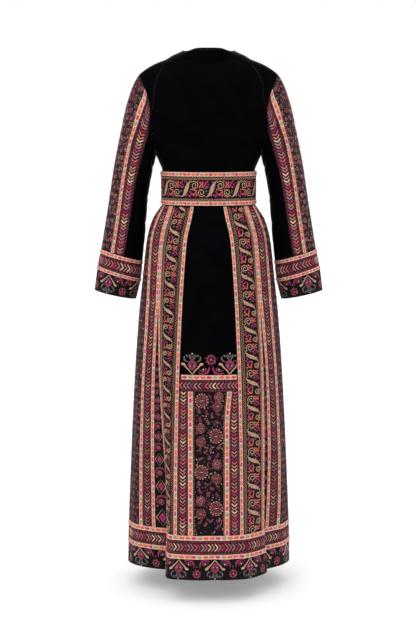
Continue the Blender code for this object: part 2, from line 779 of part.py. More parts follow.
def sleeve_rings(places, turns):
    """Rings of the right sleeve at the given places, the first ones drawn in to the armhole seam."""
    last = len(SLEEVE) - 1
    rings = []
    for place, turn in zip(places, turns):
        start = armhole_ring(turn) + np.array([ARMHOLE_GAP, 0.0, 0.0])
        fade = 1.0 - smooth(place / last / CAP_BLEND)
        rings.append(sleeve_ring(turn, place) + (start - sleeve_ring(turn, 0.0)) * fade)
    return np.array(rings)


def sleeve_grid(places):
    """Points and outward normals of the right sleeve, the armhole's turned away from its middle."""
    turns = np.radians([sleeve_angles(place) for place in places])
    places = np.array(places)
    grid = sleeve_rings(places, turns)
    down = sleeve_rings(places + 0.05, turns) - sleeve_rings(np.maximum(places - 0.05, 0.0), turns)
    across = sleeve_rings(places, turns + 0.02) - sleeve_rings(places, turns - 0.02)
    normals = np.cross(down, across)
    away = grid - grid.mean(axis=1, keepdims=True)
    normals *= np.sign(np.sum(away * normals))
    if places[0] == 0.0:
        normals[0] = away[0] * np.array([0.0, 1.0, 1.0])
    return grid, normals / np.linalg.norm(normals, axis=2, keepdims=True)


def mirrored(grid, side):
    """The right sleeve's grid, or its mirror image with columns run the other way."""
    if side > 0:
        return grid
    return grid[:, ::-1] * np.array([-1.0, 1.0, 1.0])


def build_sleeves():
    """Each sleeve with a braid down its back and front, and a cuff with two braids round it."""
    upper = [0.0, 0.25, 0.8, 1.5, 2.3, 3.2, 4.0, 5.0, 6.0, 7.0, 8.0, CUFF_TOP_RING - 0.006]
    last = len(SLEEVE) - 1
    drop = SLEEVE[CUFF_TOP_RING][1] - SLEEVE[last][1]
    cuff = [CUFF_TOP_RING + ring_share(band / drop) for band in (*CUFF_BANDS, drop * 0.78, drop)]
    cuff[0] += 0.006
    upper_grid, upper_normals = sleeve_grid(upper)
    cuff_grid, cuff_normals = sleeve_grid(cuff)
    front_column = len(sleeve_angles(0.0)) - SLEEVE_BRAID_COLUMN - 1
    for side in (-1, 1):
        name = side_name(side)
        put = lambda grid: mirrored(grid, side)
        wall(f"sleeve_{name}", "wine_embroidery", put(upper_grid), put(upper_normals), VELVET, True)
        wall(f"cuff_{name}", "wine_embroidery", put(cuff_grid), put(cuff_normals), BAND_CLOTH, True)
        for where, first in (("back", SLEEVE_BRAID_COLUMN), ("front", front_column)):
            cell = upper_grid[1:, first : first + 2]
            cell = cell[:-1] if len(cell) > 11 else cell
            cell_normals = upper_normals[1 : 1 + len(cell), first : first + 2]
            wall(
                f"sleeve_braid_{where}_{name}", "braid",
                put(cell), put(cell_normals), BRAID, lift=GAP + BRAID,
            )
        for where, first in (("upper", 0), ("lower", 2)):
            wall(
                f"cuff_braid_{where}_{name}", "braid",
                put(cuff_grid[first : first + 2]), put(cuff_normals[first : first + 2]),
                BRAID, True, lift=GAP + BRAID,
            )


def ring_share(share):
    """Place below the cuff's top ring for a share of the cuff's drop."""
    top, middle, foot = (SLEEVE[CUFF_TOP_RING + k][1] for k in range(3))
    z = top + (foot - top) * share
    if z > middle:
        return (top - z) / (top - middle)
    return 1.0 + (middle - z) / (middle - foot)


# Belt


def belt_ring(z, lift):
    """A ring of the belt, clear of the widest ring of the dress under it."""
    angles = np.linspace(-180.0, 180.0, 45)[:-1]
    turn = np.radians(angles)
    half_width = eased(SKIRT, 1, -0.4060) + BELT_EASE + lift
    depth = np.where(np.cos(turn) > 0, eased(SKIRT, 2, -0.4060), eased(SKIRT, 3, -0.4060))
    depth = depth + BELT_EASE + lift
    return np.stack(
        [half_width * np.sin(turn), -depth * np.cos(turn), np.full_like(turn, z)], axis=-1
    )


def build_belt():
    """A stiff embroidered belt with a braid along each edge."""
    heights = (BELT_TOP_Z, BELT_TOP_Z - BELT_BRAID, BELT_FOOT_Z + BELT_BRAID, BELT_FOOT_Z)
    grid = np.array([belt_ring(z, BAND_CLOTH) for z in heights])
    normals = grid_normals(grid, True)
    wall("belt", "gold_embroidery", grid, normals, BAND_CLOTH, closed=True)
    for name, first in (("belt_braid_upper", 0), ("belt_braid_lower", 2)):
        band = grid[first : first + 2]
        wall(name, "braid", band, normals[first : first + 2], BRAID, closed=True, lift=GAP + BRAID)


def main():
    for old in list(bpy.data.objects):
        bpy.data.objects.remove(old)
    build_bodice()
    build_collar()
    build_sleeves()
    build_belt()
    build_skirt_panels()
    build_centre_panels()
    build_skirt_braids()
    build_border()


main()
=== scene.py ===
"""Looks of the floor-length embroidered thobe dress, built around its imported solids.

Metres, +Z up, the back of the dress looks towards -Y. Each solid is replaced by a thin shell of cloth on
the same form with soft creases, and braids and embroidery are laid on it as thread with a real height.
"""

import math
from functools import lru_cache

import bpy
import numpy as np
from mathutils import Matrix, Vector


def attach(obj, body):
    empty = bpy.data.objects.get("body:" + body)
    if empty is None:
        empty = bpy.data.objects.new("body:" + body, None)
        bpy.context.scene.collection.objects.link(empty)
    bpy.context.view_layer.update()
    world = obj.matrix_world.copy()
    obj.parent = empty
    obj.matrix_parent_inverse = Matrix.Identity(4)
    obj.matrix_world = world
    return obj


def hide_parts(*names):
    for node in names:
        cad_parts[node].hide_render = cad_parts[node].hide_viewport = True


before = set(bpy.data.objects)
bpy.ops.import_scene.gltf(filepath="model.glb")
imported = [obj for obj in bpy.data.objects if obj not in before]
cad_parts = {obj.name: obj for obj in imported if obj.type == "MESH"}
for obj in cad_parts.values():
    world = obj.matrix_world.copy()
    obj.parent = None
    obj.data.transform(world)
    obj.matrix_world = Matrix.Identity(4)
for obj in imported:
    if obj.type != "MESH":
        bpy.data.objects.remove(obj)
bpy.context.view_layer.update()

# Form of the dress, as the solids have it
VELVET = 0.0016
BAND_CLOTH = 0.0018
GAP = 0.0003
ARMHOLE_GAP = 0.0006
BELT_EASE = 0.0005

ARMPIT_Z = -0.2723
SHOULDER_TIP_Z = -0.0517
WAIST_Z = -0.3583
BELT_TOP_Z = -0.3136
BELT_FOOT_Z = -0.4030
BELT_BRAID = 0.0120
BELT_ZIGZAG = 0.0085
SPREAD_Z = -0.4060
EMBROIDERY_TOP_Z = -0.4050
INSET_TOP_Z = -0.8530
INSET_BRAID_FOOT_Z = -0.8665
INSET_CHEVRON_FOOT_Z = -0.8985
BORDER_TOP_Z = -1.2870
BORDER_BRAID_FOOT_Z = -1.3010
LOWER_BRAID_TOP_Z = -1.3370
LOWER_BRAID_FOOT_Z = -1.3500
HEM_Z = -1.4040

NECK_HALF = 0.0890
NECK_BACK_Z = -0.0200
NECK_FRONT_DROP = 0.1050
SHOULDER_TOP_Z = -0.0030
SHOULDER_SLOPE = 0.21
SHOULDER_ROUND = 16.37
SHOULDER_ROLL = 0.120
SHOULDER_SLOPE_X = 0.072
NECK_RISE, NECK_RISE_X, NECK_RISE_SPAN = 0.0085, 0.120, 0.032
SLIT_FOOT_Z = -0.2200
SLIT_HALF = 0.0015
COLLAR_BACK, COLLAR_SIDE, COLLAR_FRONT = 0.0365, 0.0235, 0.0200
COLLAR_STAND, COLLAR_SIDE_SLOPE = 0.86, 25.0

BODY = [
    # z, half_width, back_depth, front_depth
    (-0.3583, 0.1262, 0.0935, 0.0905),
    (-0.3110, 0.1264, 0.0938, 0.0910),
    (-0.2925, 0.1335, 0.0962, 0.0985),
    (-0.2723, 0.1426, 0.0985, 0.1060),
    (-0.2400, 0.1660, 0.1010, 0.1130),
    (-0.2000, 0.1870, 0.1040, 0.1170),
    (-0.1700, 0.1950, 0.1060, 0.1150),
    (-0.1000, 0.1950, 0.1030, 0.1010),
    (0.0100, 0.1950, 0.0980, 0.0860),
]
ARMHOLE = [
    # z, x
    (-0.2723, 0.1426),
    (-0.2400, 0.1475),
    (-0.2000, 0.1515),
    (-0.1480, 0.1555),
    (-0.1200, 0.1605),
    (-0.0920, 0.1705),
    (-0.0700, 0.1800),
    (-0.0517, 0.1866),
]
SLEEVE = [
    # outer_x, outer_z, inner_x, inner_z, half_depth
    (0.1866, -0.0517, 0.1426, -0.2723, 0.0670),
    (0.2009, -0.0745, 0.1476, -0.2918, 0.0675),
    (0.2146, -0.1081, 0.1532, -0.3136, 0.0670),
    (0.2266, -0.1484, 0.1579, -0.3381, 0.0650),
    (0.2378, -0.1997, 0.1630, -0.3654, 0.0620),
    (0.2496, -0.2538, 0.1670, -0.4009, 0.0590),
    (0.2613, -0.3163, 0.1710, -0.4447, 0.0560),
    (0.2742, -0.3981, 0.1751, -0.4941, 0.0530),
    (0.2881, -0.4804, 0.1803, -0.5409, 0.0510),
    (0.2962, -0.5271, 0.1826, -0.5602, 0.0510),
    (0.3059, -0.5740, 0.1876, -0.6100, 0.0515),
    (0.3156, -0.6405, 0.2008, -0.6655, 0.0515),
]
CUFF_TOP_RING = 9
SLEEVE_FORWARD = 0.020
CAP_BLEND = 0.14
CUFF_BANDS = (0.0, 0.012, 0.046, 0.057)
CUFF_ROW = 0.0085
CUFF_PART = 0.006
SLEEVE_BANDS = [
    # place, then angles from the outer edge: braid's two edges and the chevron band's far edge
    (0.0, 50.0, 59.5, 86.0),
    (0.8, 60.0, 71.0, 104.0),
    (1.6, 66.0, 78.0, 111.0),
    (2.6, 66.5, 77.0, 112.0),
    (4.0, 63.0, 73.0, 108.0),
    (9.0, 61.0, 70.5, 98.0),
    (11.0, 61.0, 70.5, 98.0),
]
SLEEVE_CELLS = (12, 2, 7, 12)


SKIRT = [
    # z, half_width, back_depth, front_depth
    (-1.4040, 0.2235, 0.1130, 0.1850),
    (-1.2900, 0.2214, 0.1100, 0.1800),
    (-1.1760, 0.2173, 0.1130, 0.1730),
    (-0.9480, 0.2075, 0.1270, 0.1550),
    (-0.7239, 0.1932, 0.1430, 0.1380),
    (-0.5933, 0.1797, 0.1400, 0.1280),
    (-0.5010, 0.1689, 0.1300, 0.1180),
    (-0.4550, 0.1573, 0.1200, 0.1100),
    (-0.4326, 0.1468, 0.1110, 0.1030),
    (-0.4180, 0.1360, 0.1020, 0.0970),
    (-0.4060, 0.1275, 0.0950, 0.0920),
    (-0.3583, 0.1262, 0.0935, 0.0905),
]
SQUARENESS_HEM = 2.25
PLEAT_TOP_Z = -0.640
PLEAT_RISE = 0.0890
PLEAT_GROWTH = 1.5
PLEAT_LEFT_ANGLES = (-55.0, -46.5)
PLEAT_LEFT_ROUND = 24.0
PLEAT_RIGHT_START, PLEAT_RIGHT_FALL = 24.0, 56.0
PLEAT_RIGHT_ANGLES = (60.0, 52.0)
PLEAT_RIGHT_KEEP = 0.40
PLEAT_EDGE = 3.5
CREASE_SPAN = 0.0050
FLUTES = [
    # angle, half_width, height, top_z
    (-92.0, 16.0, 0.0030, -0.70),
    (96.0, 18.0, 0.0050, -0.66),
    (-124.0, 14.0, 0.0130, -0.60),
    (128.0, 15.0, 0.0120, -0.64),
    (-154.0, 15.0, 0.0140, -0.56),
    (157.0, 16.0, 0.0130, -0.58),
    (4.0, 9.0, -0.0040, -0.90),
]
HALF_CENTRE = [
    # z, half width of the middle back panel
    (-1.2900, 0.0860),
    (-1.1040, 0.0845),
    (-0.9710, 0.0820),
    (-0.8360, 0.0785),
    (-0.7300, 0.0740),
    (-0.6500, 0.0700),
    (-0.5700, 0.0650),
    (-0.4910, 0.0580),
    (-0.4135, 0.0410),
    (-0.3583, 0.0340),
]
HALF_FRONT = [
    # z, half width of the middle front panel
    (-1.2900, 0.1180),
    (-0.7300, 0.0980),
    (-0.4910, 0.0740),
    (-0.3583, 0.0450),
]
STRIP_WIDTHS = [
    # z, wide_braid, zigzag, edge_zigzag, edge_braid, side_braid, chevron, thin_braid
    (-1.2900, 0.0100, 0.0115, 0.0070, 0.0066, 0.0110, 0.0300, 0.0120),
    (-0.8000, 0.0100, 0.0115, 0.0070, 0.0062, 0.0100, 0.0265, 0.0110),
    (-0.5000, 0.0100, 0.0115, 0.0090, 0.0060, 0.0095, 0.0290, 0.0120),
    (-0.3583, 0.0085, 0.0095, 0.0070, 0.0050, 0.0080, 0.0200, 0.0080),
]
STRIP_COLUMN = {
    "wide_braid": 1, "zigzag": 2, "edge_zigzag": 3, "edge_braid": 4,
    "side_braid": 5, "chevron": 6, "thin_braid": 7,
}
SCROLL_WIDTH = [
    # z, on the left, on the right
    (-1.2900, 0.0450, 0.0510),
    (-1.1400, 0.0330, 0.0480),
    (-1.0000, 0.0290, 0.0460),
    (-0.8600, 0.0315, 0.0450),
    (-0.6600, 0.0370, 0.0415),
    (-0.5000, 0.0405, 0.0410),
    (-0.3583, 0.0320, 0.0320),
]
GODET_HEM = {-1: 0.053, 1: 0.037}
GODET_TOP_Z = -0.6800
GODET_POINT = 0.0012
INSET_BRAID_LEFT = (-0.0560, -0.0420)
INSET_BRAID_RIGHT = (0.0430, 0.0565)
INSET_BRAID_SHIFT = 0.0095
INSET_SHIFT_FOOT_Z = -0.990

# Soft creases that the solids leave out: none runs the whole length and no two are alike
SKIRT_CREASES = [
    # angle, half width in degrees, depth, top_z, foot_z, degrees it drifts on its way down
    (-21.0, 5.0, 0.0016, -0.404, -0.620, -3.0),
    (-8.0, 4.0, 0.0010, -0.404, -0.540, -1.0),
    (6.0, 4.5, 0.0013, -0.404, -0.600, 1.5),
    (19.0, 5.0, 0.0015, -0.404, -0.560, 3.0),
    (-38.0, 5.5, 0.0022, -0.404, -0.760, -4.0),
    (36.0, 5.5, 0.0024, -0.404, -0.820, 4.0),
    (-60.0, 6.0, 0.0026, -0.404, -0.900, -4.0),
    (58.0, 6.0, 0.0022, -0.404, -0.740, 5.0),
    (-76.0, 5.0, 0.0018, -0.410, -0.660, -3.0),
    (74.0, 5.5, 0.0026, -0.404, -0.980, 5.0),
    (-98.0, 6.5, 0.0028, -0.404, -0.860, -2.0),
    (94.0, 5.5, 0.0020, -0.410, -0.700, 2.0),
    (-118.0, 6.0, 0.0024, -0.404, -0.960, 2.0),
    (114.0, 6.5, 0.0028, -0.404, -0.880, -3.0),
    (-138.0, 5.5, 0.0020, -0.404, -0.700, 1.0),
    (136.0, 6.0, 0.0024, -0.404, -0.940, -2.0),
    (-163.0, 6.0, 0.0022, -0.404, -0.780, 3.0),
    (158.0, 5.5, 0.0018, -0.404, -0.660, -2.0),
    (177.0, 5.0, 0.0016, -0.404, -0.720, 2.0),
    (-82.0, 7.0, 0.0032, -0.880, -1.400, -3.0),
    (81.0, 7.0, 0.0034, -0.940, -1.400, 4.0),
    (-108.0, 8.0, 0.0030, -0.980, -1.400, 3.0),
    (110.0, 8.0, 0.0036, -0.900, -1.400, -3.0),
    (-66.0, 5.0, 0.0024, -1.020, -1.400, 1.0),
    (66.0, 5.0, 0.0022, -1.060, -1.400, 1.0),
    (-23.0, 6.0, 0.0018, -0.960, -1.330, 2.0),
    (24.0, 6.5, 0.0022, -0.900, -1.400, -2.0),
    (-4.0, 5.0, 0.0014, -1.090, -1.400, 2.0),
    (-140.0, 6.0, 0.0030, -1.000, -1.400, 2.0),
    (143.0, 6.5, 0.0028, -0.960, -1.400, -2.0),
    (172.0, 7.0, 0.0034, -0.860, -1.400, 3.0),
]
BODICE_CREASES = [
    # face, x, half width, depth, z at its foot, length, slant in metres of x a metre of height
    (-1, -0.104, 0.010, 0.0022, -0.318, 0.075, 0.10),
    (-1, -0.082, 0.008, 0.0016, -0.318, 0.050, 0.06),
    (-1, -0.061, 0.009, 0.0020, -0.318, 0.085, 0.08),
    (-1, -0.036, 0.008, 0.0014, -0.318, 0.060, 0.03),
    (-1, -0.012, 0.009, 0.0018, -0.318, 0.095, 0.02),
    (-1, 0.014, 0.008, 0.0014, -0.318, 0.055, 0.0),
    (-1, 0.034, 0.009, 0.0020, -0.318, 0.090, -0.04),
    (-1, 0.058, 0.008, 0.0016, -0.318, 0.060, -0.06),
    (-1, 0.079, 0.010, 0.0022, -0.318, 0.080, -0.08),
    (-1, 0.103, 0.009, 0.0018, -0.318, 0.055, -0.10),
    (1, -0.094, 0.010, 0.0022, -0.318, 0.080, 0.08),
    (1, -0.064, 0.009, 0.0018, -0.318, 0.060, 0.05),
    (1, -0.030, 0.009, 0.0020, -0.318, 0.085, 0.02),
    (1, 0.027, 0.009, 0.0018, -0.318, 0.070, -0.02),
    (1, 0.060, 0.010, 0.0022, -0.318, 0.090, -0.05),
    (1, 0.092, 0.009, 0.0018, -0.318, 0.060, -0.08),
]
SLEEVE_CREASES = [
    # angle, place, half length in degrees, half width in places, depth, places it drifts a degree
    (165.0, 1.4, 60.0, 0.45, 0.0022, 0.010),
    (150.0, 2.6, 48.0, 0.40, 0.0016, 0.014),
    (178.0, 4.6, 55.0, 0.35, 0.0020, -0.010),
    (150.0, 5.5, 62.0, 0.32, 0.0022, -0.012),
    (186.0, 6.3, 50.0, 0.28, 0.0016, 0.010),
    (160.0, 7.6, 42.0, 0.26, 0.0012, -0.008),
    (262.0, 2.2, 50.0, 0.40, 0.0018, -0.014),
    (250.0, 4.9, 58.0, 0.34, 0.0022, 0.012),
    (282.0, 5.9, 44.0, 0.30, 0.0018, -0.010),
    (240.0, 7.2, 40.0, 0.26, 0.0012, 0.010),
]

# Colours of the thread and of the cloth, as they look on a screen
THREADS = {
    "magenta": (152, 32, 88),
    "rose": (170, 76, 102),
    "coral": (206, 90, 80),
    "cream": (230, 194, 160),
    "tan": (184, 142, 114),
    "grey": (122, 116, 110),
    "ash": (86, 80, 78),
    "wine": (106, 30, 54),
    "plum": (66, 24, 38),
    "brown": (122, 82, 66),
    "fuchsia": (188, 28, 112),
    "claret": (126, 34, 72),
    "olive": (142, 134, 112),
    "seam": (8, 7, 8),
}
THREAD_NAMES = list(THREADS)
THREAD_HEIGHT = 0.0006
DETAIL_HEIGHT = 0.0010
SINK = 0.0002

# Spacing of the motifs
SCROLL_PITCH, BELT_SCROLL_PITCH = 0.0710, 0.0700
SCROLL_START = {-1: (-0.012, "even"), 1: (-0.030, "uneven")}
FLORAL_CELL, SLEEVE_FLORAL_CELL = 0.0185, 0.0175
INSET_CELL, INSET_KNOTS, INSET_SEED = 0.094, 170, 31
HEM_BUDS = (0.097, 0.0525, -0.243)
CUFF_BUDS = {-1: (0.085, 0.050, -0.28), 1: (0.085, 0.050, 0.25)}
FOOT_MIDDLE_X, FOOT_BUD_X, FOOT_BUD_RISE, FOOT_BUD_SIZE = 0.0066, 0.0505, 0.0305, 0.058
FOOT_FLOWER_RISE, FOOT_FLOWER_RADIUS = 0.0410, 0.0132
FOOT_KNOT_X, FOOT_KNOT_RISE, FOOT_KNOT_RADIUS = 0.0180, 0.0460, 0.0015
HEM_COLUMNS, CUFF_COLUMNS, BELT_COLUMNS, BAND_STEP = 250, 72, 160, 0.009


def smooth(t):
    """0 to 1 with flat ends."""
    t = np.clip(t, 0.0, 1.0)
    return t * t * (3.0 - 2.0 * t)


def half_way_round(angle):
    """The same angle in degrees, as one from -180 to 180."""
    return (angle + 180.0) % 360.0 - 180.0


def cells_between(low, high, cells):
    """The far ends of equal cells from low to high."""
    return [low + (high - low) * (k + 1) / cells for k in range(cells)]


@lru_cache(maxsize=None)
def knots_of(rows, column):
    """Heights, values and slopes of a table's column, for eased()."""
    rows = sorted(rows)
    knots = np.array([row[0] for row in rows])
    values = np.array([row[column] for row in rows])
    step = np.diff(knots)
    slope = np.diff(values) / step
    tangent = np.zeros(len(knots))
    tangent[0], tangent[-1] = slope[0], slope[-1]
    for i in range(1, len(knots) - 1):
        if slope[i - 1] * slope[i] > 0:
            tangent[i] = 2.0 / (1.0 / slope[i - 1] + 1.0 / slope[i])
    return knots, values, step, tangent


def eased(rows, column, z):
    """A column of a table, read at height z, on a curve with no overshoot between its rows."""
    knots, values, step, tangent = knots_of(tuple(rows), column)
    z = np.clip(z, knots[0], knots[-1])
    i = np.clip(np.searchsorted(knots, z) - 1, 0, len(step) - 1)
    t = (z - knots[i]) / step[i]
    return (
        values[i] * (1 + 2 * t) * (1 - t) ** 2
        + tangent[i] * step[i] * t * (1 - t) ** 2
        + values[i + 1] * t * t * (3 - 2 * t)
        + tangent[i + 1] * step[i] * t * t * (t - 1)
    )


def grid_normals(points, closed):
    """Unit normals of a grid of points, rows running down and columns running to the right."""
    along = np.gradient(points, axis=0)
    if closed:
        across = (np.roll(points, -1, axis=1) - np.roll(points, 1, axis=1)) / 2
    else:
        across = np.gradient(points, axis=1)
    normal = np.cross(along, across)
    return normal / np.maximum(np.linalg.norm(normal, axis=2, keepdims=True), 1e-12)


# Skirt


def pleat(angle, z):
    """How far the back pleat lifts the cloth off the plain ring, at angles in degrees from centre back."""
    down = np.clip((PLEAT_TOP_Z - z) / (PLEAT_TOP_Z - HEM_Z), 0.0, 1.0)
    left = PLEAT_LEFT_ANGLES[0] + (PLEAT_LEFT_ANGLES[1] - PLEAT_LEFT_ANGLES[0]) * down
    right = PLEAT_RIGHT_ANGLES[0] + (PLEAT_RIGHT_ANGLES[1] - PLEAT_RIGHT_ANGLES[0]) * down
    rise_left = smooth((angle - left + 5.5) / PLEAT_LEFT_ROUND)
    fall_right = 1.0 - smooth((angle - PLEAT_RIGHT_START) / PLEAT_RIGHT_FALL)
    gate_left = smooth((angle - left) / PLEAT_EDGE)
    gate_right = 1.0 - (1.0 - PLEAT_RIGHT_KEEP) * smooth((angle - right) / PLEAT_EDGE)
    return PLEAT_RISE * down**PLEAT_GROWTH * rise_left * fall_right * gate_left * gate_right


def skirt_crease(angle, z):
    """How far the soft creases draw the cloth in."""
    drawn = np.zeros_like(angle)
    for centre, half, depth, top, foot, drift in SKIRT_CREASES:
        share = (top - z) / (top - foot)
        if not 0.0 < share < 1.0:
            continue
        ends = float(smooth(share * 5.0))
        if foot > HEM_Z + 0.01:
            ends *= float(smooth((1.0 - share) * 2.2))
        away = half_way_round(angle - centre - drift * share)
        drawn += depth * ends * smooth(1.0 - np.abs(away) / half)
    return drawn


def skirt_ring(angle, z):
    """Points of the skirt's outside at height z, at angles in degrees from centre back towards +X."""
    half_width = eased(SKIRT, 1, z)
    back = eased(SKIRT, 2, z)
    front = eased(SKIRT, 3, z)
    turn = np.radians(angle)
    power = 2.0 + (SQUARENESS_HEM - 2.0) * smooth((WAIST_Z - z) / (WAIST_Z - HEM_Z))
    depth = np.where(np.cos(turn) > 0, back, front)
    sides = np.abs(np.sin(turn) / half_width) ** power
    ends = np.abs(np.cos(turn) / depth) ** power
    radius = (sides + ends) ** (-1.0 / power) + pleat(angle, z)
    for centre, half, height, top in FLUTES:
        away = half_way_round(angle - centre)
        down = np.clip((top - z) / (top - HEM_Z), 0.0, 1.0)
        radius = radius + height * down**1.2 * smooth(1.0 - np.abs(away) / half)
    radius = radius - skirt_crease(angle, z)
    return np.stack(
        [radius * np.sin(turn), -radius * np.cos(turn), np.full_like(turn, z)], axis=-1
    )


@lru_cache(maxsize=None)
def skirt_curve(z):
    """The skirt's ring at height z, how far it is round from centre back, and the ring just below."""
    angles = np.linspace(-540.0, 540.0, 4321)
    ring = skirt_ring(angles, z)
    lower = skirt_ring(angles, z - 0.002)
    gone = np.concatenate([[0.0], np.cumsum(np.linalg.norm(np.diff(ring, axis=0), axis=1))])
    return ring, lower - ring, gone - gone[len(angles) // 2]


def skirt_row(z, distances):
    """Points at distances in metres round the skirt from centre back, + towards +X, and their normals."""
    ring, below, gone = skirt_curve(z)

    def read(curve, at):
        return np.stack([np.interp(at, gone, curve[:, k]) for k in range(3)], axis=-1)

    points = read(ring, distances)
    across = read(ring, distances + CREASE_SPAN) - read(ring, distances - CREASE_SPAN)
    normals = np.cross(read(below, distances), across)
    return points, normals / np.linalg.norm(normals, axis=1, keepdims=True)


@lru_cache(maxsize=None)
def half_girth(side, z):
    """Distance round the skirt from centre back to centre front on one side."""
    ring = skirt_ring(np.linspace(0.0, 180.0 * side, 721), z)
    return float(np.linalg.norm(np.diff(ring, axis=0), axis=1).sum())


def strip_width(name, side, z):
    """A strip's width at height z."""
    if name == "scroll":
        return float(eased(SCROLL_WIDTH, 1 if side < 0 else 2, z))
    return float(eased(STRIP_WIDTHS, STRIP_COLUMN[name], z))


def godet_width(side, z):
    """Width of the godet set in behind the pleat's edge, from a point to its width at the hem."""
    if z > GODET_TOP_Z:
        return 0.0
    down = (GODET_TOP_Z - z) / (GODET_TOP_Z - HEM_Z)
    return GODET_POINT + (GODET_HEM[side] - GODET_POINT) * down


BACK_STRIPS = ("wide_braid", "zigzag", "scroll", "edge_zigzag", "edge_braid")
SIDE_STRIPS = ("side_braid", "chevron", "thin_braid")


@lru_cache(maxsize=None)
def strip_edges(side, z):
    """Named distances from centre back of every strip edge on one side of the skirt."""
    edges = {"centre": float(eased(HALF_CENTRE, 1, z))}
    at = edges["centre"]
    for name in BACK_STRIPS:
        at += strip_width(name, side, z)
        edges[name] = at
    at += godet_width(side, z)
    edges["godet"] = at
    for name in SIDE_STRIPS:
        at += strip_width(name, side, z)
        edges[name] = at
    girth = half_girth(side, z)
    front = (BACK_STRIPS + SIDE_STRIPS)[::-1]
    at = girth - float(eased(HALF_FRONT, 1, z)) - sum(strip_width(name, side, z) for name in front)
    edges["floral"] = at
    for name in front:
        at += strip_width(name, side, z)
        edges["front_" + name] = at
    edges["front_centre"] = girth
    return edges


# Cells across each strip of the shells
STRIP_CELLS = {
    "wide_braid": 2, "zigzag": 2, "scroll": 6, "edge_zigzag": 2, "edge_braid": 1, "godet": 8,
    "side_braid": 2, "chevron": 5, "thin_braid": 2, "floral": 26,
    "front_thin_braid": 2, "front_chevron": 5, "front_side_braid": 2,
    "front_edge_braid": 1, "front_edge_zigzag": 2, "front_scroll": 6, "front_zigzag": 2,
    "front_wide_braid": 2, "front_centre": 22,
}
PANELS = {
    # panel: (first strip, last strip)
    "scroll_panel": ("wide_braid", "edge_braid"),
    "godet": ("godet", "godet"),
    "side_panel": ("side_braid", "front_side_braid"),
    "front_scroll_panel": ("front_edge_braid", "front_wide_braid"),
}


def skirt_columns(side, z, first, last):
    """Distances of the columns from the first strip's inner edge to the last strip's outer edge."""
    edges = strip_edges(side, z)
    names = list(edges)
    start, end = names.index(first), names.index(last)
    columns = [edges[names[start - 1]]]
    for name in names[start : end + 1]:
        columns += cells_between(columns[-1], edges[name], STRIP_CELLS[name])
    return columns


def strip_spans(first, last):
    """First and last column of each strip in skirt_columns."""
    names = ["centre", *BACK_STRIPS, "godet", *SIDE_STRIPS, "floral"]
    names += ["front_" + name for name in (BACK_STRIPS + SIDE_STRIPS)[::-1]] + ["front_centre"]
    spans, at = {}, 0
    for name in names[names.index(first) : names.index(last) + 1]:
        spans[name] = (at, at + STRIP_CELLS[name])
        at += STRIP_CELLS[name]
    return spans


def heights_between(top, foot, step=0.0125, keep=()):
    """Row heights from top to foot, about a step apart, that pass through the heights in keep."""
    stops = sorted({top, foot, *(z for z in keep if foot < z < top)}, reverse=True)
    rows = [top]
    for high, low in zip(stops, stops[1:]):
        rows += cells_between(high, low, max(1, round((high - low) / step)))
    return [round(float(z), 6) for z in rows]


def skirt_grid(heights, columns_at):
    """Points and normals of a panel, a row for each height, parted from its neighbours by a gap."""
    trim = GAP / 2
    points, normals = [], []
    for i, z in enumerate(heights):
        inward = trim if i == 0 else -trim if i == len(heights) - 1 else 0.0
        at = np.array(columns_at(z), float)
        step = np.sign(at[-1] - at[0]) * trim
        at[0] += step
        at[-1] -= step
        row, normal = skirt_row(round(z - inward, 6), at)
        points.append(row)
        normals.append(normal)
    return np.array(points), np.array(normals)


def inset_edges(z):
    """Edges across the inset: side, outer and inner edge of each braid, and side again."""
    half = float(eased(HALF_CENTRE, 1, z))
    shift = INSET_BRAID_SHIFT * (1.0 - smooth((INSET_TOP_Z - z) / (INSET_TOP_Z - INSET_SHIFT_FOOT_Z)))
    left_out, left_in = INSET_BRAID_LEFT
    right_in, right_out = (edge + float(shift) for edge in INSET_BRAID_RIGHT)
    return [-half, left_out, left_in, right_in, right_out, half]


INSET_CELLS = (4, 2, 14, 2, 4)
CENTRE_CELLS = 26


def inset_columns(z):
    """The inset's columns, strip by strip."""
    edges = inset_edges(z)
    columns = [edges[0]]
    for low, high, cells in zip(edges, edges[1:], INSET_CELLS):
        columns += cells_between(low, high, cells)
    return columns


def centre_columns(z):
    """The columns of the middle back panel."""
    half = float(eased(HALF_CENTRE, 1, z))
    return np.linspace(-half, half, CENTRE_CELLS + 1)


# Upper body


def shoulder_height(x):
    """Height of the shoulder seam at distance x from the middle."""
    beyond = np.maximum(np.abs(x) - SHOULDER_SLOPE_X, 0.0)
    rise = NECK_RISE * smooth((NECK_RISE_X - np.abs(x)) / NECK_RISE_SPAN)
    return SHOULDER_TOP_Z + rise - SHOULDER_SLOPE * beyond - SHOULDER_ROUND * beyond**3


def neckline(x, face):
    """Height of the neck seam, face -1 at the back and +1 in front."""
    side = float(shoulder_height(NECK_HALF))
    inside = np.clip(1.0 - (np.abs(x) / NECK_HALF) ** 2, 0.0, 1.0)
    if face < 0:
        return side + (NECK_BACK_Z - side) * inside**0.6
    return side - NECK_FRONT_DROP * inside**0.5


def half_turn(z):
    """Angle round the body where a panel ends: 90 degrees at the side seam, less along the armhole."""
    reach = eased(ARMHOLE, 1, z) / eased(BODY, 1, z)
    return np.where(z > ARMPIT_Z, np.arcsin(np.clip(reach, 0.0, 1.0)), math.pi / 2)


def body_point(u, z, face):
    """A point of the upper body: u runs from -1 to 1 between the side edges, face is -1 or +1."""
    turn = u * half_turn(z)
    x = eased(BODY, 1, z) * np.sin(turn)
    depth = eased(BODY, 2 if face < 0 else 3, z) * np.cos(turn)
    below = np.clip((shoulder_height(x) - z) / SHOULDER_ROLL, 0.0, 1.0)
    roll = np.sqrt(np.clip(1.0 - (1.0 - below) ** 2, 0.0, 1.0))
    return np.stack([x, face * (GAP / 2 + depth * roll), z], axis=-1)


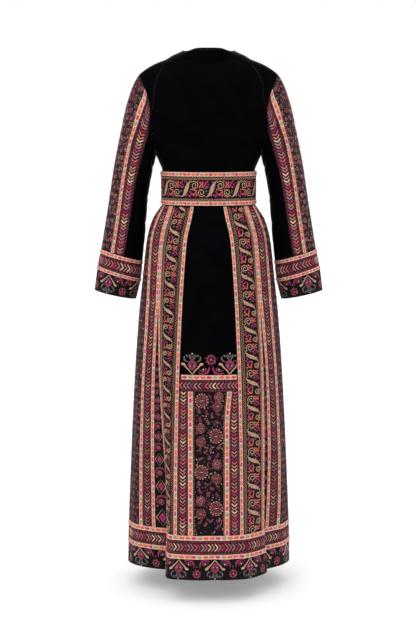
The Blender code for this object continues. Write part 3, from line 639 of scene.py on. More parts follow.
def body_normal(u, z, face):
    """Outward normal of the upper body, square to the seams where back and front meet."""
    above = np.minimum(z + 0.001, shoulder_height(body_point(u, z, face)[..., 0]))
    down = body_point(u, above - 0.004, face) - body_point(u, above, face)
    across = body_point(u + 0.004, z, face) - body_point(u - 0.004, z, face)
    normal = np.cross(down, across)
    point = body_point(u, z, face)
    away = point * np.array([1.0, 1.0, 0.0]) + np.array([0.0, 0.0, 0.05])
    normal *= np.sign(np.sum(normal * away, axis=-1, keepdims=True))
    on_seam = np.abs(point[..., 1]) < 0.002
    normal[..., 1] = np.where(on_seam, 0.0, normal[..., 1])
    return normal / np.linalg.norm(normal, axis=-1, keepdims=True)


def top_edge(u, face):
    """Height where the column u meets the shoulder seam or the neckline."""
    z = np.full_like(u, SHOULDER_TIP_Z)
    for _ in range(60):
        x = np.abs(eased(BODY, 1, z) * np.sin(u * half_turn(z)))
        top = np.where(x < NECK_HALF, neckline(x, face), shoulder_height(x))
        z = z + 0.4 * (top - z)
    return z


NECK_CELLS = 18
SHOULDER_CELLS = 17


def neck_columns():
    """Columns under the neck seam, from its shoulder end to the middle."""
    z = float(shoulder_height(NECK_HALF))
    end = float(np.arcsin(NECK_HALF / eased(BODY, 1, z)) / half_turn(z))
    return end * np.sin(np.linspace(1.0, 0.0, NECK_CELLS + 1) * math.pi / 2)


def bodice_columns():
    """Columns from one side to the middle, closer together round the neck."""
    neck = neck_columns()
    return np.concatenate([np.linspace(1.0, neck[0], SHOULDER_CELLS + 1)[:-1], neck])


BODICE_DROP = np.linspace(0.0, 1.0, 26) ** 1.6
BODICE_FOOT_ROWS = (-0.2790, -0.2860, -0.2925, -0.3015, -0.3110, -0.3250, -0.3420, WAIST_Z + GAP / 2)


def bodice_crease(points, face):
    """How far the soft gathers above the belt draw the bodice in."""
    drawn = np.zeros(points.shape[:-1])
    for on_face, x, half, depth, foot, length, slant in BODICE_CREASES:
        if on_face != face:
            continue
        up = np.clip((points[..., 2] - foot) / length, 0.0, 1.0)
        away = np.abs(points[..., 0] - x - slant * (points[..., 2] - foot)) / half
        drawn += depth * smooth(1.0 - away) * (1.0 - smooth(up))
    return drawn * smooth((-points[..., 2] - 0.16) / 0.05)


def bodice_grid(columns, face):
    """Rows from the shoulder and neck down to the waist seam, for the given columns."""
    top = top_edge(columns, face)
    z = top[None, :] + (ARMPIT_Z - top[None, :]) * BODICE_DROP[:, None]
    foot = np.repeat(np.array(BODICE_FOOT_ROWS)[:, None], len(columns), axis=1)
    z = np.concatenate([z, foot])
    u = np.broadcast_to(columns, z.shape)
    points, normals = body_point(u, z, face), body_normal(u, z, face)
    within = np.clip((1.0 - np.abs(u)) / 0.08, 0.0, 1.0)
    drawn = bodice_crease(points, face) * within
    return points - normals * drawn[..., None], normals


# Sleeves


@lru_cache(maxsize=None)
def armhole_table():
    """The armhole seam as a ring: back from the shoulder tip to the armpit, then up the front."""
    turns = np.linspace(0.0, 2.0 * math.pi, 721)
    middle, half = (SHOULDER_TIP_Z + ARMPIT_Z) / 2, (SHOULDER_TIP_Z - ARMPIT_Z) / 2
    z = middle + half * np.cos(turns)
    back, front = body_point(1.0, z, -1), body_point(1.0, z, 1)
    return turns, np.where((np.sin(turns) >= 0)[:, None], back, front)


def plain_sleeve(turns, places):
    """Points of the right sleeve before its top is drawn in to the armhole."""
    stations = [(i, *row) for i, row in enumerate(SLEEVE)]
    outer_x, outer_z, inner_x, inner_z, depth = (eased(stations, k, places) for k in range(1, 6))
    forward = SLEEVE_FORWARD * smooth(places / (len(SLEEVE) - 1))
    across = (1.0 + np.cos(turns)) / 2
    return np.stack(
        [
            inner_x + (outer_x - inner_x) * across,
            forward - depth * np.sin(turns),
            inner_z + (outer_z - inner_z) * across,
        ],
        axis=-1,
    )


def sleeve_point(turns, places):
    """Points of the right sleeve, places counting the rows of SLEEVE from the armhole."""
    turns = turns % (2.0 * math.pi)
    table_turns, table = armhole_table()
    start = np.stack([np.interp(turns, table_turns, table[:, k]) for k in range(3)], axis=-1)
    start = start + np.array([ARMHOLE_GAP, 0.0, 0.0])
    rest = start - plain_sleeve(turns, np.zeros_like(turns))
    fade = 1.0 - smooth(places / (len(SLEEVE) - 1) / CAP_BLEND)
    return plain_sleeve(turns, places) + rest * fade[..., None]


def sleeve_surface(turns, places):
    """Points and outward normals of the right sleeve at matching arrays of turns and places."""
    points = sleeve_point(turns, places)
    down = sleeve_point(turns, places + 0.05) - sleeve_point(turns, np.maximum(places - 0.05, 0.0))
    across = sleeve_point(turns + 0.02, places) - sleeve_point(turns - 0.02, places)
    normals = np.cross(across, down)
    middle = (sleeve_point(turns, places) + sleeve_point(turns + math.pi, places)) / 2
    normals *= np.sign(np.sum(normals * (points - middle)))
    at_seam = points - np.array([0.0, 0.0, (SHOULDER_TIP_Z + ARMPIT_Z) / 2])
    flat = at_seam * np.array([0.0, 1.0, 1.0])
    flat /= np.linalg.norm(flat, axis=-1, keepdims=True)
    normals /= np.linalg.norm(normals, axis=-1, keepdims=True)
    normals = np.where((places <= 0.0)[..., None], flat, normals)
    drawn = np.zeros_like(points[..., 0])
    degrees = np.degrees(turns) % 360.0
    for angle, place, half_angle, half_place, depth, drift in SLEEVE_CREASES:
        around = half_way_round(degrees - angle)
        away = np.abs(places - place - drift * around) / half_place
        drawn += depth * smooth(1.0 - np.abs(around) / half_angle) * smooth(1.0 - away)
    return points - normals * drawn[..., None], normals


def sleeve_lean(places):
    """Places that a row gains for each unit of cosine, so that the row runs square to the sleeve."""
    stations = [(i, *row) for i, row in enumerate(SLEEVE)]

    def read(at):
        outer = np.stack([eased(stations, 1, at), eased(stations, 2, at)], axis=-1)
        inner = np.stack([eased(stations, 3, at), eased(stations, 4, at)], axis=-1)
        return outer, inner

    outer, inner = read(places)
    lower = read(np.minimum(places + 0.25, len(SLEEVE) - 1.0))
    upper = read(np.maximum(places - 0.25, 0.0))
    axis = (lower[0] + lower[1] - upper[0] - upper[1]) / 2 / 0.5
    return -np.sum((outer - inner) * axis, axis=-1) / (2 * np.sum(axis * axis, axis=-1))


def mirrored(grid, side):
    """The right sleeve's grid, or its mirror image with columns run the other way."""
    if side > 0:
        return grid
    return grid[:, ::-1] * np.array([-1.0, 1.0, 1.0])


def ring_share(share):
    """Place below the cuff's top ring for a share of the cuff's drop."""
    top, middle, foot = (SLEEVE[CUFF_TOP_RING + k][1] for k in range(3))
    z = top + (foot - top) * share
    if z > middle:
        return (top - z) / (top - middle)
    return 1.0 + (middle - z) / (middle - foot)


def sleeve_columns(place):
    """Angles of the columns round a sleeve at a place, in degrees, with the edges of its bands among them."""
    edges = [0.0, *(float(eased(SLEEVE_BANDS, k, place)) for k in (1, 2, 3)), 180.0]
    half = [0.0]
    for low, high, cells in zip(edges, edges[1:], SLEEVE_CELLS):
        half += cells_between(low, high, cells)
    return half + [360.0 - angle for angle in reversed(half[1:-1])]


# Belt


def belt_ring(z, lift):
    """A ring of the belt, clear of the widest ring of the dress under it."""
    turn = np.linspace(-math.pi, math.pi, BELT_COLUMNS + 1)[:-1]
    half_width = eased(SKIRT, 1, SPREAD_Z) + BELT_EASE + lift
    depth = np.where(np.cos(turn) > 0, eased(SKIRT, 2, SPREAD_Z), eased(SKIRT, 3, SPREAD_Z))
    depth = depth + BELT_EASE + lift
    ring = np.stack([half_width * np.sin(turn), -depth * np.cos(turn)], axis=-1)
    return np.concatenate([ring, np.full((BELT_COLUMNS, 1), z)], axis=1)


# Materials


def linear(colour):
    """A screen colour of 0 to 255 as light."""
    shares = [c / 255.0 for c in colour]
    return tuple(s / 12.92 if s <= 0.04045 else ((s + 0.055) / 1.055) ** 2.4 for s in shares)


class Surface:
    """A material in the making: its Principled shader, and short ways to join nodes to it."""

    def __init__(self, name, flat=True):
        self.material = bpy.data.materials.new(name)
        self.material.use_nodes = True
        self.tree = self.material.node_tree
        self.shader = self.tree.nodes["Principled BSDF"]
        kind, output = ("ShaderNodeUVMap", "UV") if flat else ("ShaderNodeTexCoord", "Object")
        self.place = self.node(kind).outputs[output]

    def node(self, kind, **settings):
        made = self.tree.nodes.new(kind)
        for key, value in settings.items():
            if key in made.inputs:
                made.inputs[key].default_value = value
            else:
                setattr(made, key, value)
        return made

    def join(self, start, end):
        self.tree.links.new(start, end)

    def texture(self, kind, **settings):
        """A texture, read where the cloth lies flat or where the object stands."""
        made = self.node("ShaderNodeTex" + kind, **settings)
        self.join(self.place, made.inputs["Vector"])
        return made

    def ramp(self, share, low, high, low_at=0.0, high_at=1.0):
        """A colour that runs from low to high as the share grows."""
        made = self.node("ShaderNodeValToRGB")
        for stop, colour, at in zip(made.color_ramp.elements, (low, high), (low_at, high_at)):
            stop.position = at
            stop.color = (*colour, 1.0)
        self.join(share, made.inputs["Fac"])
        return made.outputs["Color"]

    def colour(self, source):
        self.join(source, self.shader.inputs["Base Color"])

    def bump(self, height, strength, distance):
        made = self.node("ShaderNodeBump", Strength=strength, Distance=distance)
        self.join(height, made.inputs["Height"])
        self.join(made.outputs["Normal"], self.shader.inputs["Normal"])

    def finish(self, roughness, specular, **others):
        """Sets the sockets that are the same all over, and gives the material."""
        values = {"Roughness": roughness, "Specular_IOR_Level": specular, **others}
        for socket, value in values.items():
            self.shader.inputs[socket.replace("_", " ")].default_value = value
        return self.material


def velvet_material(name, dark, light, low, high):
    """Short pile: nearly black face on, a soft bloom at the edges, nap that lies unevenly."""
    surface = Surface(name, flat=False)
    nap = surface.texture("Noise", Scale=26.0, Detail=4.0, Roughness=0.55)
    pile = surface.texture("Noise", Scale=2600.0, Detail=1.0)
    surface.colour(surface.ramp(nap.outputs["Fac"], dark, light, 0.35, 0.75))
    surface.bump(pile.outputs["Fac"], 0.25, 0.0004)
    edge = surface.node("ShaderNodeLayerWeight", Blend=0.35)
    bloom = surface.ramp(edge.outputs["Facing"], (low, low, low), (high, high, high), 0.35, 0.95)
    surface.join(bloom, surface.shader.inputs["Sheen Weight"])
    return surface.finish(0.9, 0.01, Sheen_Roughness=0.35, Sheen_Tint=(0.90, 0.76, 0.76, 1.0))


def ground_material(name, base, specks, share, size):
    """Cloth under the embroidery: velvet with close small seed stitches of several colours."""
    surface = Surface(name)
    seeds = surface.texture("Voronoi", Scale=1.0 / size, Randomness=0.9)
    inside = surface.ramp(seeds.outputs["Distance"], (1.0, 1.0, 1.0), (0.0, 0.0, 0.0), 0.26, 0.36)
    pick = surface.node("ShaderNodeSeparateColor")
    surface.join(seeds.outputs["Color"], pick.inputs["Color"])
    colour = surface.node("ShaderNodeValToRGB")
    colour.color_ramp.interpolation = "CONSTANT"
    stops = colour.color_ramp.elements
    stops[0].position, stops[0].color = 0.0, (*base, 1.0)
    stops[1].position, stops[1].color = 1.0 - share, (*specks[0], 1.0)
    for i, speck in enumerate(specks[1:], 1):
        stop = stops.new(1.0 - share + share * i / len(specks))
        stop.color = (*speck, 1.0)
    surface.join(pick.outputs["Red"], colour.inputs["Fac"])
    mix = surface.node("ShaderNodeMix", data_type="RGBA")
    mix.inputs[6].default_value = (*base, 1.0)
    surface.join(inside, mix.inputs[0])
    surface.join(colour.outputs["Color"], mix.inputs[7])
    surface.colour(mix.outputs[2])
    weave = surface.texture("Noise", Scale=1800.0, Detail=1.0)
    height = surface.node("ShaderNodeMath", operation="ADD")
    surface.join(inside, height.inputs[0])
    surface.join(weave.outputs["Fac"], height.inputs[1])
    surface.bump(height.outputs["Value"], 0.4, 0.0004)
    return surface.finish(0.85, 0.12, Sheen_Weight=0.03)


def woven_material(name, low, high, span, shade, ridges, relief, finish):
    """Threads side by side: slight changes of shade and fine ridges, each given by its texture's settings."""
    surface = Surface(name)
    shading = surface.texture("Noise", **shade)
    surface.colour(surface.ramp(shading.outputs["Fac"], low, high, *span))
    wave = surface.texture("Wave", **ridges)
    surface.bump(wave.outputs["Fac"], *relief)
    return surface.finish(**finish)


def thread_material(name, colour):
    """Stranded cotton: fine ridges along each stitch, a soft sheen and slight changes of shade."""
    full = linear(colour)
    return woven_material(
        "thread_" + name, [c * 0.62 for c in full], [min(1.0, c * 1.25) for c in full], (0.3, 0.7),
        shade={"Scale": 240.0, "Detail": 2.0},
        ridges={"Scale": 420.0, "Distortion": 1.5, "Detail": 1.0, "bands_direction": "Y"},
        relief=(0.45, 0.0003), finish={"roughness": 0.55, "specular": 0.25, "Sheen_Weight": 0.08},
    )


def tape_material(name, edge, middle):
    """Woven braid: ribs across the tape, and shades between two colours."""
    return woven_material(
        name, linear(middle), linear(edge), (0.35, 0.65),
        shade={"Scale": 160.0, "Detail": 3.0},
        ridges={"Scale": 260.0, "Distortion": 0.8, "Detail": 1.0, "bands_direction": "Y"},
        relief=(0.6, 0.0004), finish={"roughness": 0.62, "specular": 0.2, "Sheen_Weight": 0.08},
    )


def satin_material(name, colour):
    """Plain satin, for the lining."""
    full = linear(colour)
    return woven_material(
        name, [c * 0.75 for c in full], [c * 1.15 for c in full], (0.3, 0.7),
        shade={"Scale": 60.0, "Detail": 3.0},
        ridges={"Scale": 700.0, "Distortion": 0.6, "bands_direction": "DIAGONAL"},
        relief=(0.2, 0.0002), finish={"roughness": 0.45, "specular": 0.35},
    )


BLACK = (0.0012, 0.0010, 0.0013)
SPECKS = ("grey", "wine", "tan", "magenta", "rose")
GREY, WINE, TAN, MAGENTA, ROSE = (linear(THREADS[name]) for name in SPECKS)
GROUNDS = {
    # name: cloth, seed stitches, share of them that shows, their spacing
    "floral_ground": ((0.006, 0.0040, 0.0050), [GREY, WINE, TAN, MAGENTA, ROSE], 0.45, 0.0036),
    "dark_floral": ((0.005, 0.0032, 0.0042), [GREY, WINE, TAN, MAGENTA, ROSE], 0.24, 0.0036),
    "border_ground": ((0.0032, 0.0024, 0.0030), [GREY, WINE], 0.10, 0.0055),
    "scroll_ground": ((0.0040, 0.0026, 0.0028), [GREY, WINE, TAN], 0.16, 0.0040),
    "zigzag_ground": ((0.0080, 0.0050, 0.0050), [TAN, GREY], 0.12, 0.0030),
    "wine_ground": ((0.022, 0.006, 0.010), [WINE, WINE, ROSE], 0.60, 0.0032),
}
MATERIALS = {
    "collar_velvet": velvet_material("collar_velvet", BLACK, (0.0024, 0.0018, 0.0020), 0.05, 0.40),
    "velvet": velvet_material("velvet", BLACK, (0.0020, 0.0016, 0.0021), 0.008, 0.22),
    **{name: ground_material(name, *row) for name, row in GROUNDS.items()},
    "tape": tape_material("tape", (222, 184, 154), (194, 146, 122)),
    "lining": satin_material("lining", (26, 18, 22)),
}
THREAD_MATERIALS = [thread_material(name, THREADS[name]) for name in THREAD_NAMES]


# Mesh making


def mesh_object(name, points, faces, uv, materials, face_material, sharp=60.0):
    """A piece of the dress from arrays: faces are rows of point numbers, uv is a pair in metres a point."""
    mesh = bpy.data.meshes.new(name)
    sides = faces.shape[1]
    mesh.vertices.add(len(points))
    mesh.vertices.foreach_set("co", points.astype(np.float32).ravel())
    mesh.loops.add(faces.size)
    mesh.loops.foreach_set("vertex_index", faces.astype(np.int32).ravel())
    mesh.polygons.add(len(faces))
    mesh.polygons.foreach_set("loop_start", np.arange(len(faces), dtype=np.int32) * sides)
    for material in materials:
        mesh.materials.append(material)
    mesh.polygons.foreach_set("material_index", face_material.astype(np.int32))
    layer = mesh.uv_layers.new(name="flat_cloth")
    layer.data.foreach_set("uv", uv[faces.ravel()].astype(np.float32).ravel())
    mesh.update(calc_edges=True)
    mesh.validate()
    mesh.shade_smooth()
    mesh.set_sharp_from_angle(angle=math.radians(sharp))
    made = bpy.data.objects.new(name, mesh)
    bpy.context.scene.collection.objects.link(made)
    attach(made, "root")
    return made


def shell(
    name, points, normals, thickness, replaced, grounds,
    closed=False, level=(),
):
    """Thin cloth: the outer face, the lining face and its edges.

    grounds is one material name, or a list of (last column, material name) that covers the columns from the
    left, and level lists (first row, last row, material name) for bands that run across all columns.
    """
    rows, columns = points.shape[:2]
    skins = np.concatenate([points.reshape(-1, 3), (points - normals * thickness).reshape(-1, 3)])
    count = rows * columns
    spans = columns if closed else columns - 1
    if isinstance(grounds, str):
        grounds = [(spans, grounds)]
    r, c = np.meshgrid(np.arange(rows - 1), np.arange(spans), indexing="ij")
    right = (c + 1) % columns
    a, b = r * columns + c, (r + 1) * columns + c
    d, e = (r + 1) * columns + right, r * columns + right
    outer = np.stack([a, b, d, e], axis=-1).reshape(-1, 4)
    inner = np.stack([a, e, d, b], axis=-1).reshape(-1, 4) + count
    cc = np.arange(spans)
    after = (cc + 1) % columns
    foot = (rows - 1) * columns
    rims = [
        np.stack([cc, after, count + after, count + cc], axis=-1),
        np.stack([foot + cc, count + foot + cc, count + foot + after, foot + after], axis=-1),
    ]
    if not closed:
        rr = np.arange(rows - 1)
        top, low = rr * columns, (rr + 1) * columns
        rims.append(np.stack([top, count + top, count + low, low], axis=-1))
        last = columns - 1
        rims.append(np.stack([top + last, low + last, count + low + last, count + top + last], axis=-1))
    names = [ground for *_, ground in (*grounds, *level)]
    materials = [MATERIALS[ground] for ground in dict.fromkeys(names)] + [MATERIALS["lining"]]
    order = {ground: i for i, ground in enumerate(dict.fromkeys(names))}
    column_ground = np.zeros(spans, int)
    start = 0
    for last_column, ground in grounds:
        column_ground[start:last_column] = order[ground]
        start = last_column
    outer_ground = np.repeat(column_ground[None, :], rows - 1, axis=0)
    for first_row, last_row, ground in level:
        outer_ground[first_row:last_row] = order[ground]
    outer_ground = outer_ground.ravel()
    rim_faces = np.concatenate(rims)
    rim_ground = np.full(len(rim_faces), order[names[0]])
    faces = np.concatenate([outer, inner, rim_faces])
    lining = len(materials) - 1
    face_material = np.concatenate([outer_ground, np.full(len(inner), lining), rim_ground])
    middle = rows // 2
    facing = np.sum(
        np.cross(points[middle + 1 : middle + 2, 1:] - points[middle : middle + 1, 1:],
                 points[middle : middle + 1, 1:] - points[middle : middle + 1, :-1])
        * normals[middle : middle + 1, 1:]
    )
    if facing < 0:
        faces = faces[:, ::-1]
    across = np.concatenate(
        [np.zeros((rows, 1)), np.cumsum(np.linalg.norm(np.diff(points, axis=1), axis=2), axis=1)], axis=1
    )
    down = np.concatenate(
        [np.zeros((1, columns)), np.cumsum(np.linalg.norm(np.diff(points, axis=0), axis=2), axis=0)], axis=0
    )
    uv = np.stack([across, down], axis=-1).reshape(-1, 2)
    made = mesh_object(name, skins, faces, np.concatenate([uv, uv]), materials, face_material)
    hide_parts(*replaced)
    return made


class Chart:
    """A strip of cloth as a map from its flat cut to space: x across from its middle, y along, in metres."""

    def __init__(self, points, normals):
        self.points, self.normals = points, normals
        self.rows, self.columns = points.shape[:2]
        self.widths = np.linalg.norm(np.diff(points, axis=1), axis=2).sum(axis=1)
        middle = (points[:, (self.columns - 1) // 2] + points[:, self.columns // 2]) / 2
        steps = np.linalg.norm(np.diff(middle, axis=0), axis=1)
        self.down = np.concatenate([[0.0], np.cumsum(steps)])
        self.length = float(self.down[-1])
        cross = np.cross(points[:-1, 1:] - points[:-1, :-1], points[1:, :-1] - points[:-1, :-1])
        self.upright = float(np.sum(cross * normals[:-1, :-1])) > 0

    def width(self, y):
        return np.interp(y, self.down, self.widths)

    def place(self, x, y, lift):
        share = np.clip(0.5 + x / self.width(y), 0.012, 0.988) * (self.columns - 1)
        row = np.interp(y, self.down, np.arange(self.rows, dtype=float))
        i = np.minimum(row.astype(int), self.rows - 2)
        j = np.minimum(share.astype(int), self.columns - 2)
        s, t = (row - i)[:, None], (share - j)[:, None]

        def blend(grid):
            top = grid[i, j] * (1 - t) + grid[i, j + 1] * t
            low = grid[i + 1, j] * (1 - t) + grid[i + 1, j + 1] * t
            return top * (1 - s) + low * s

        return blend(self.points) + blend(self.normals) * lift[:, None]


class Stitches:
    """Embroidery gathered into one mesh, each stitch a small closed bead of thread on the cloth."""

    def __init__(self):
        self.points, self.faces, self.colours, self.uv = [], [], [], []
        self.count = 0

    def lay(self, chart, x, y, lift, faces, colour, u, v):
        if not chart.upright:
            faces = faces[:, ::-1]
        self.points.append(chart.place(x, y, lift))
        self.faces.append(faces + self.count)
        self.colours.append(np.full(len(faces), THREAD_NAMES.index(colour)))
        self.uv.append(np.stack([u, v], axis=-1))
        self.count += len(x)

    def build(self, name, cloth):
        made = mesh_object(
            name, np.concatenate(self.points), np.concatenate(self.faces), np.concatenate(self.uv),
            THREAD_MATERIALS, np.concatenate(self.colours), sharp=75.0,
        )
        made["lies_on"] = cloth.name


@lru_cache(maxsize=None)
def stroke_faces(stations):
    """Triangles of a ribbon with three points a station: left, crown, right."""
    i = np.arange(stations - 1)[:, None] * 3
    block = np.array([[0, 1, 4], [0, 4, 3], [1, 2, 5], [1, 5, 4], [2, 0, 3], [2, 3, 5]])
    body = (i[:, :, None] + block[None]).reshape(-1, 3)
    last = 3 * (stations - 1)
    ends = np.array([[0, 2, 1], [last + 2, last, last + 1]])
    return np.concatenate([body, ends])


@lru_cache(maxsize=None)
def dome_faces(corners, stepped):
    """Triangles of a domed shape: outline, an inner ring if it is stepped, crown, and a flat underside."""
    i = np.arange(corners)
    after = (i + 1) % corners
    under = np.stack([np.zeros(corners - 2, int), i[2:], i[1:-1]], axis=-1)
    if not stepped:
        crown = np.full(corners, corners)
        return np.concatenate([np.stack([crown, i, after], axis=-1), under])
    crown = np.full(corners, 2 * corners)
    return np.concatenate(
        [
            np.stack([i, after, after + corners], axis=-1),
            np.stack([i, after + corners, i + corners], axis=-1),
            np.stack([crown, i + corners, after + corners], axis=-1),
            under,
        ]
    )


class Pen:
    """Draws thread on a chart in a small frame of its own, which can be moved, turned, sized and mirrored."""

    def __init__(self, stitches, chart, x=0.0, y=0.0, turn=0.0, size=1.0, mirror=1.0):
        self.stitches, self.chart = stitches, chart
        cos, sin = math.cos(math.radians(turn)), math.sin(math.radians(turn))
        self.matrix = np.array([[cos * mirror, -sin], [sin * mirror, cos]]) * size
        self.origin = np.array([x, y])

    def at(self, x, y, turn=0.0, size=1.0, mirror=1.0):
        """A pen nested in this one."""
        inner = Pen(self.stitches, self.chart, 0.0, 0.0, turn, size, mirror)
        inner.origin = self.origin + self.matrix @ np.array([x, y])
        inner.matrix = self.matrix @ inner.matrix
        return inner

    def stroke(self, path, width, colour, height=THREAD_HEIGHT, ends=0.15):
        """A line of thread: width is one number, or one for each point, in the pen's own units."""
        path = np.array(path, float) @ self.matrix.T + self.origin
        scale = math.sqrt(abs(np.linalg.det(self.matrix)))
        stations = len(path)
        width = np.broadcast_to(np.array(width, float), (stations,)) * scale
        if ends < 1.0:
            width = width.copy()
            width[0] *= ends
            width[-1] *= ends
        along = np.gradient(path, axis=0)
        along /= np.maximum(np.linalg.norm(along, axis=1, keepdims=True), 1e-9)
        side = np.stack([-along[:, 1], along[:, 0]], axis=-1) * (width / 2)[:, None]
        flat = np.stack([path + side, path, path - side], axis=1).reshape(-1, 2)
        crown = height * np.clip(width / max(width.max(), 1e-9), 0.35, 1.0)
        lift = np.stack([np.full(stations, -SINK), crown, np.full(stations, -SINK)], axis=1).ravel()
        gone = np.concatenate([[0.0], np.cumsum(np.linalg.norm(np.diff(path, axis=0), axis=1))])
        u = np.stack([width / 2, np.zeros(stations), -width / 2], axis=1).ravel()
        self.stitches.lay(
            self.chart, flat[:, 0], flat[:, 1], lift, stroke_faces(stations), colour, u, np.repeat(gone, 3)
        )

    def shape(self, outline, colour, height=THREAD_HEIGHT, stepped=True):
        """A filled, domed shape from the points of its outline."""
        outline = np.array(outline, float)
        middle = self.matrix @ outline.mean(axis=0) + self.origin
        outline = outline @ self.matrix.T + self.origin
        turned = np.roll(outline, -1, axis=0)
        if np.sum(outline[:, 0] * turned[:, 1] - outline[:, 1] * turned[:, 0]) < 0:
            outline = outline[::-1]
        corners = len(outline)
        if stepped:
            flat = np.concatenate([outline, middle + (outline - middle) * 0.66, [middle]])
            lift = np.concatenate([np.full(corners, -SINK), np.full(corners, height * 0.85), [height]])
        else:
            flat = np.concatenate([outline, [middle]])
            lift = np.concatenate([np.full(corners, -SINK), [height]])
        self.stitches.lay(
            self.chart, flat[:, 0], flat[:, 1], lift, dome_faces(corners, stepped), colour,
            flat[:, 0] - middle[0], flat[:, 1],
        )

    def dot(self, x, y, radius, colour, height=THREAD_HEIGHT, corners=6, stretch=1.0, turn=0.0):
        """A round or oval knot of thread."""
        around = np.linspace(0.0, 2.0 * math.pi, corners, endpoint=False)
        cos, sin = math.cos(math.radians(turn)), math.sin(math.radians(turn))
        a, b = radius * np.cos(around), radius * stretch * np.sin(around)
        outline = np.stack([x + a * cos - b * sin, y + a * sin + b * cos], axis=-1)
        self.shape(outline, colour, height, stepped=corners > 7)

    def leaf(self, start, end, width, colour, bend=0.0, height=THREAD_HEIGHT):
        """A pointed leaf from start to end, bent sideways by a share of its length."""
        start, end = np.array(start, float), np.array(end, float)
        t = np.array([0.0, 0.22, 0.5, 0.78, 1.0])
        along = end - start
        square = np.array([-along[1], along[0]])
        path = start + along * t[:, None] + square * (bend * 4 * t * (1 - t))[:, None]
        self.stroke(path, width * np.array([0.12, 0.8, 1.0, 0.7, 0.1]), colour, height, ends=1.0)


def arc(cx, cy, radius, start, end, count, squash=1.0, end_radius=None):
    """Points on an arc or a spiral, angles in degrees from +x towards +y."""
    turn = np.radians(np.linspace(start, end, count))
    radius = np.linspace(radius, radius if end_radius is None else end_radius, count)
    return np.stack([cx + radius * np.cos(turn), cy + squash * radius * np.sin(turn)], axis=-1)


# Motifs, each drawn round the pen's origin with y running down


def rosette(pen, radius, petal, heart, petals=6):
    """A round flower: petals about a knot."""
    for k in range(petals):
        point = arc(0, 0, radius, 360.0 * (k + 0.5) / petals, 0, 1)[0]
        pen.leaf(point * 0.2, point * 1.05, radius * 0.62, petal)
    pen.dot(0, 0, radius * 0.26, heart, DETAIL_HEIGHT)


def ringed_rosette(pen, radius, petal, heart, dots):
    """A flower of round petals with small knots at its rim, as in the hem border."""
    for k in range(9):
        x, y = arc(0, 0, radius * 0.74, 40 * k + 20, 40 * k + 20, 1)[0]
        pen.dot(x, y, radius * 0.27, petal if k % 3 else "rose", THREAD_HEIGHT, 7)
        pen.dot(x * 1.06, y * 1.06, radius * 0.11, dots, DETAIL_HEIGHT, 5)
        x, y = arc(0, 0, radius * 1.02, 40 * k, 40 * k, 1)[0]
        pen.dot(x, y, radius * 0.11, "tan" if k % 2 else dots, DETAIL_HEIGHT, 5)
    pen.dot(0, 0, radius * 0.40, "wine", THREAD_HEIGHT * 1.1, 8)
    pen.dot(0, 0, radius * 0.24, heart, DETAIL_HEIGHT * 1.3)


def paisley(pen, size, rim, ring, heart):
    """A curved drop with a rim, and a small flower and a knot in it."""
    turns = np.linspace(0.0, 2.0 * math.pi, 15)
    body = np.stack([np.sin(turns) * 0.36, -np.cos(turns) * 0.46], axis=-1)
    tip = np.clip((-body[:, 1] - 0.05) / 0.41, 0.0, 1.0)
    body[:, 0] = body[:, 0] * (1.0 - 0.62 * tip) + 0.26 * tip**1.6
    body[:, 1] += 0.04
    pen.stroke(body * size, size * 0.095, rim, ends=1.0)
    pen.shape(body[:-1] * size * 0.66, ring, THREAD_HEIGHT * 0.8)
    rosette(pen.at(-0.02 * size, 0.12 * size), size * 0.17, heart, "cream", petals=5)
    pen.dot(0.09 * size, -0.20 * size, size * 0.05, "cream", DETAIL_HEIGHT, corners=5)


def ring_flower(pen, radius, rim, petal, pale=0):
    """A round flower of scalloped rings about a knot, slightly taller than wide."""
    count = 14
    for k in range(count):
        angle = 360.0 / count * k
        x, y = arc(0, 0, radius * 0.90, angle, angle, 1, 1.10)[0]
        outer = rim if (k + pale) % 4 else "coral"
        pen.dot(x, y, radius * 0.14, outer, THREAD_HEIGHT, 5, stretch=1.4, turn=angle)
        x, y = arc(0, 0, radius * 0.67, angle + 13.0, angle + 13.0, 1, 1.10)[0]
        inner = ("rose", "claret", "brown", "rose")[(k + pale) % 4]
        pen.dot(x, y, radius * 0.14, inner, THREAD_HEIGHT * 1.1, 5, stretch=1.3, turn=angle)
    ring = "tan" if pale else "brown"
    pen.stroke(arc(0, 0, radius * 0.48, 0, 360, 13, 1.10), radius * 0.10, ring, ends=1.0)
    pen.stroke(arc(0, 0, radius * 0.33, 0, 360, 9, 1.10), radius * 0.15, petal, ends=1.0)
    for k in range(6):
        x, y = arc(0, 0, radius * 0.19, 60 * k, 60 * k, 1)[0]
        pen.dot(x, y, radius * 0.07, ("cream", "rose", "wine")[k % 3], DETAIL_HEIGHT, 5)
    pen.dot(0, 0, radius * 0.10, "cream", DETAIL_HEIGHT * 1.2, 5)


def half_paisley(pen, size, colour, dots):
    """A curl like an ear that opens downwards, with a smaller curl and knots inside it."""
    path = arc(0, 0, size * 0.5, 165.0, 400.0, 13, 0.9, size * 0.36)
    pen.stroke(path, size * np.interp(np.linspace(0, 1, 13), [0, 0.45, 1], [0.10, 0.26, 0.12]), colour)
    pen.shape(arc(0.03 * size, 0.05 * size, size * 0.27, 0, 324, 10), "wine", THREAD_HEIGHT * 0.8)
    pen.stroke(arc(0.04 * size, 0.04 * size, size * 0.17, 150.0, 420.0, 8), size * 0.07, dots, DETAIL_HEIGHT)
    pen.dot(0.05 * size, 0.05 * size, size * 0.06, "cream", DETAIL_HEIGHT)
    for k in range(5):
        angle = math.radians(190.0 + 38.0 * k)
        x, y = size * 0.50 * math.cos(angle), size * 0.45 * math.sin(angle)
        pen.dot(x, y, size * 0.045, dots, DETAIL_HEIGHT)


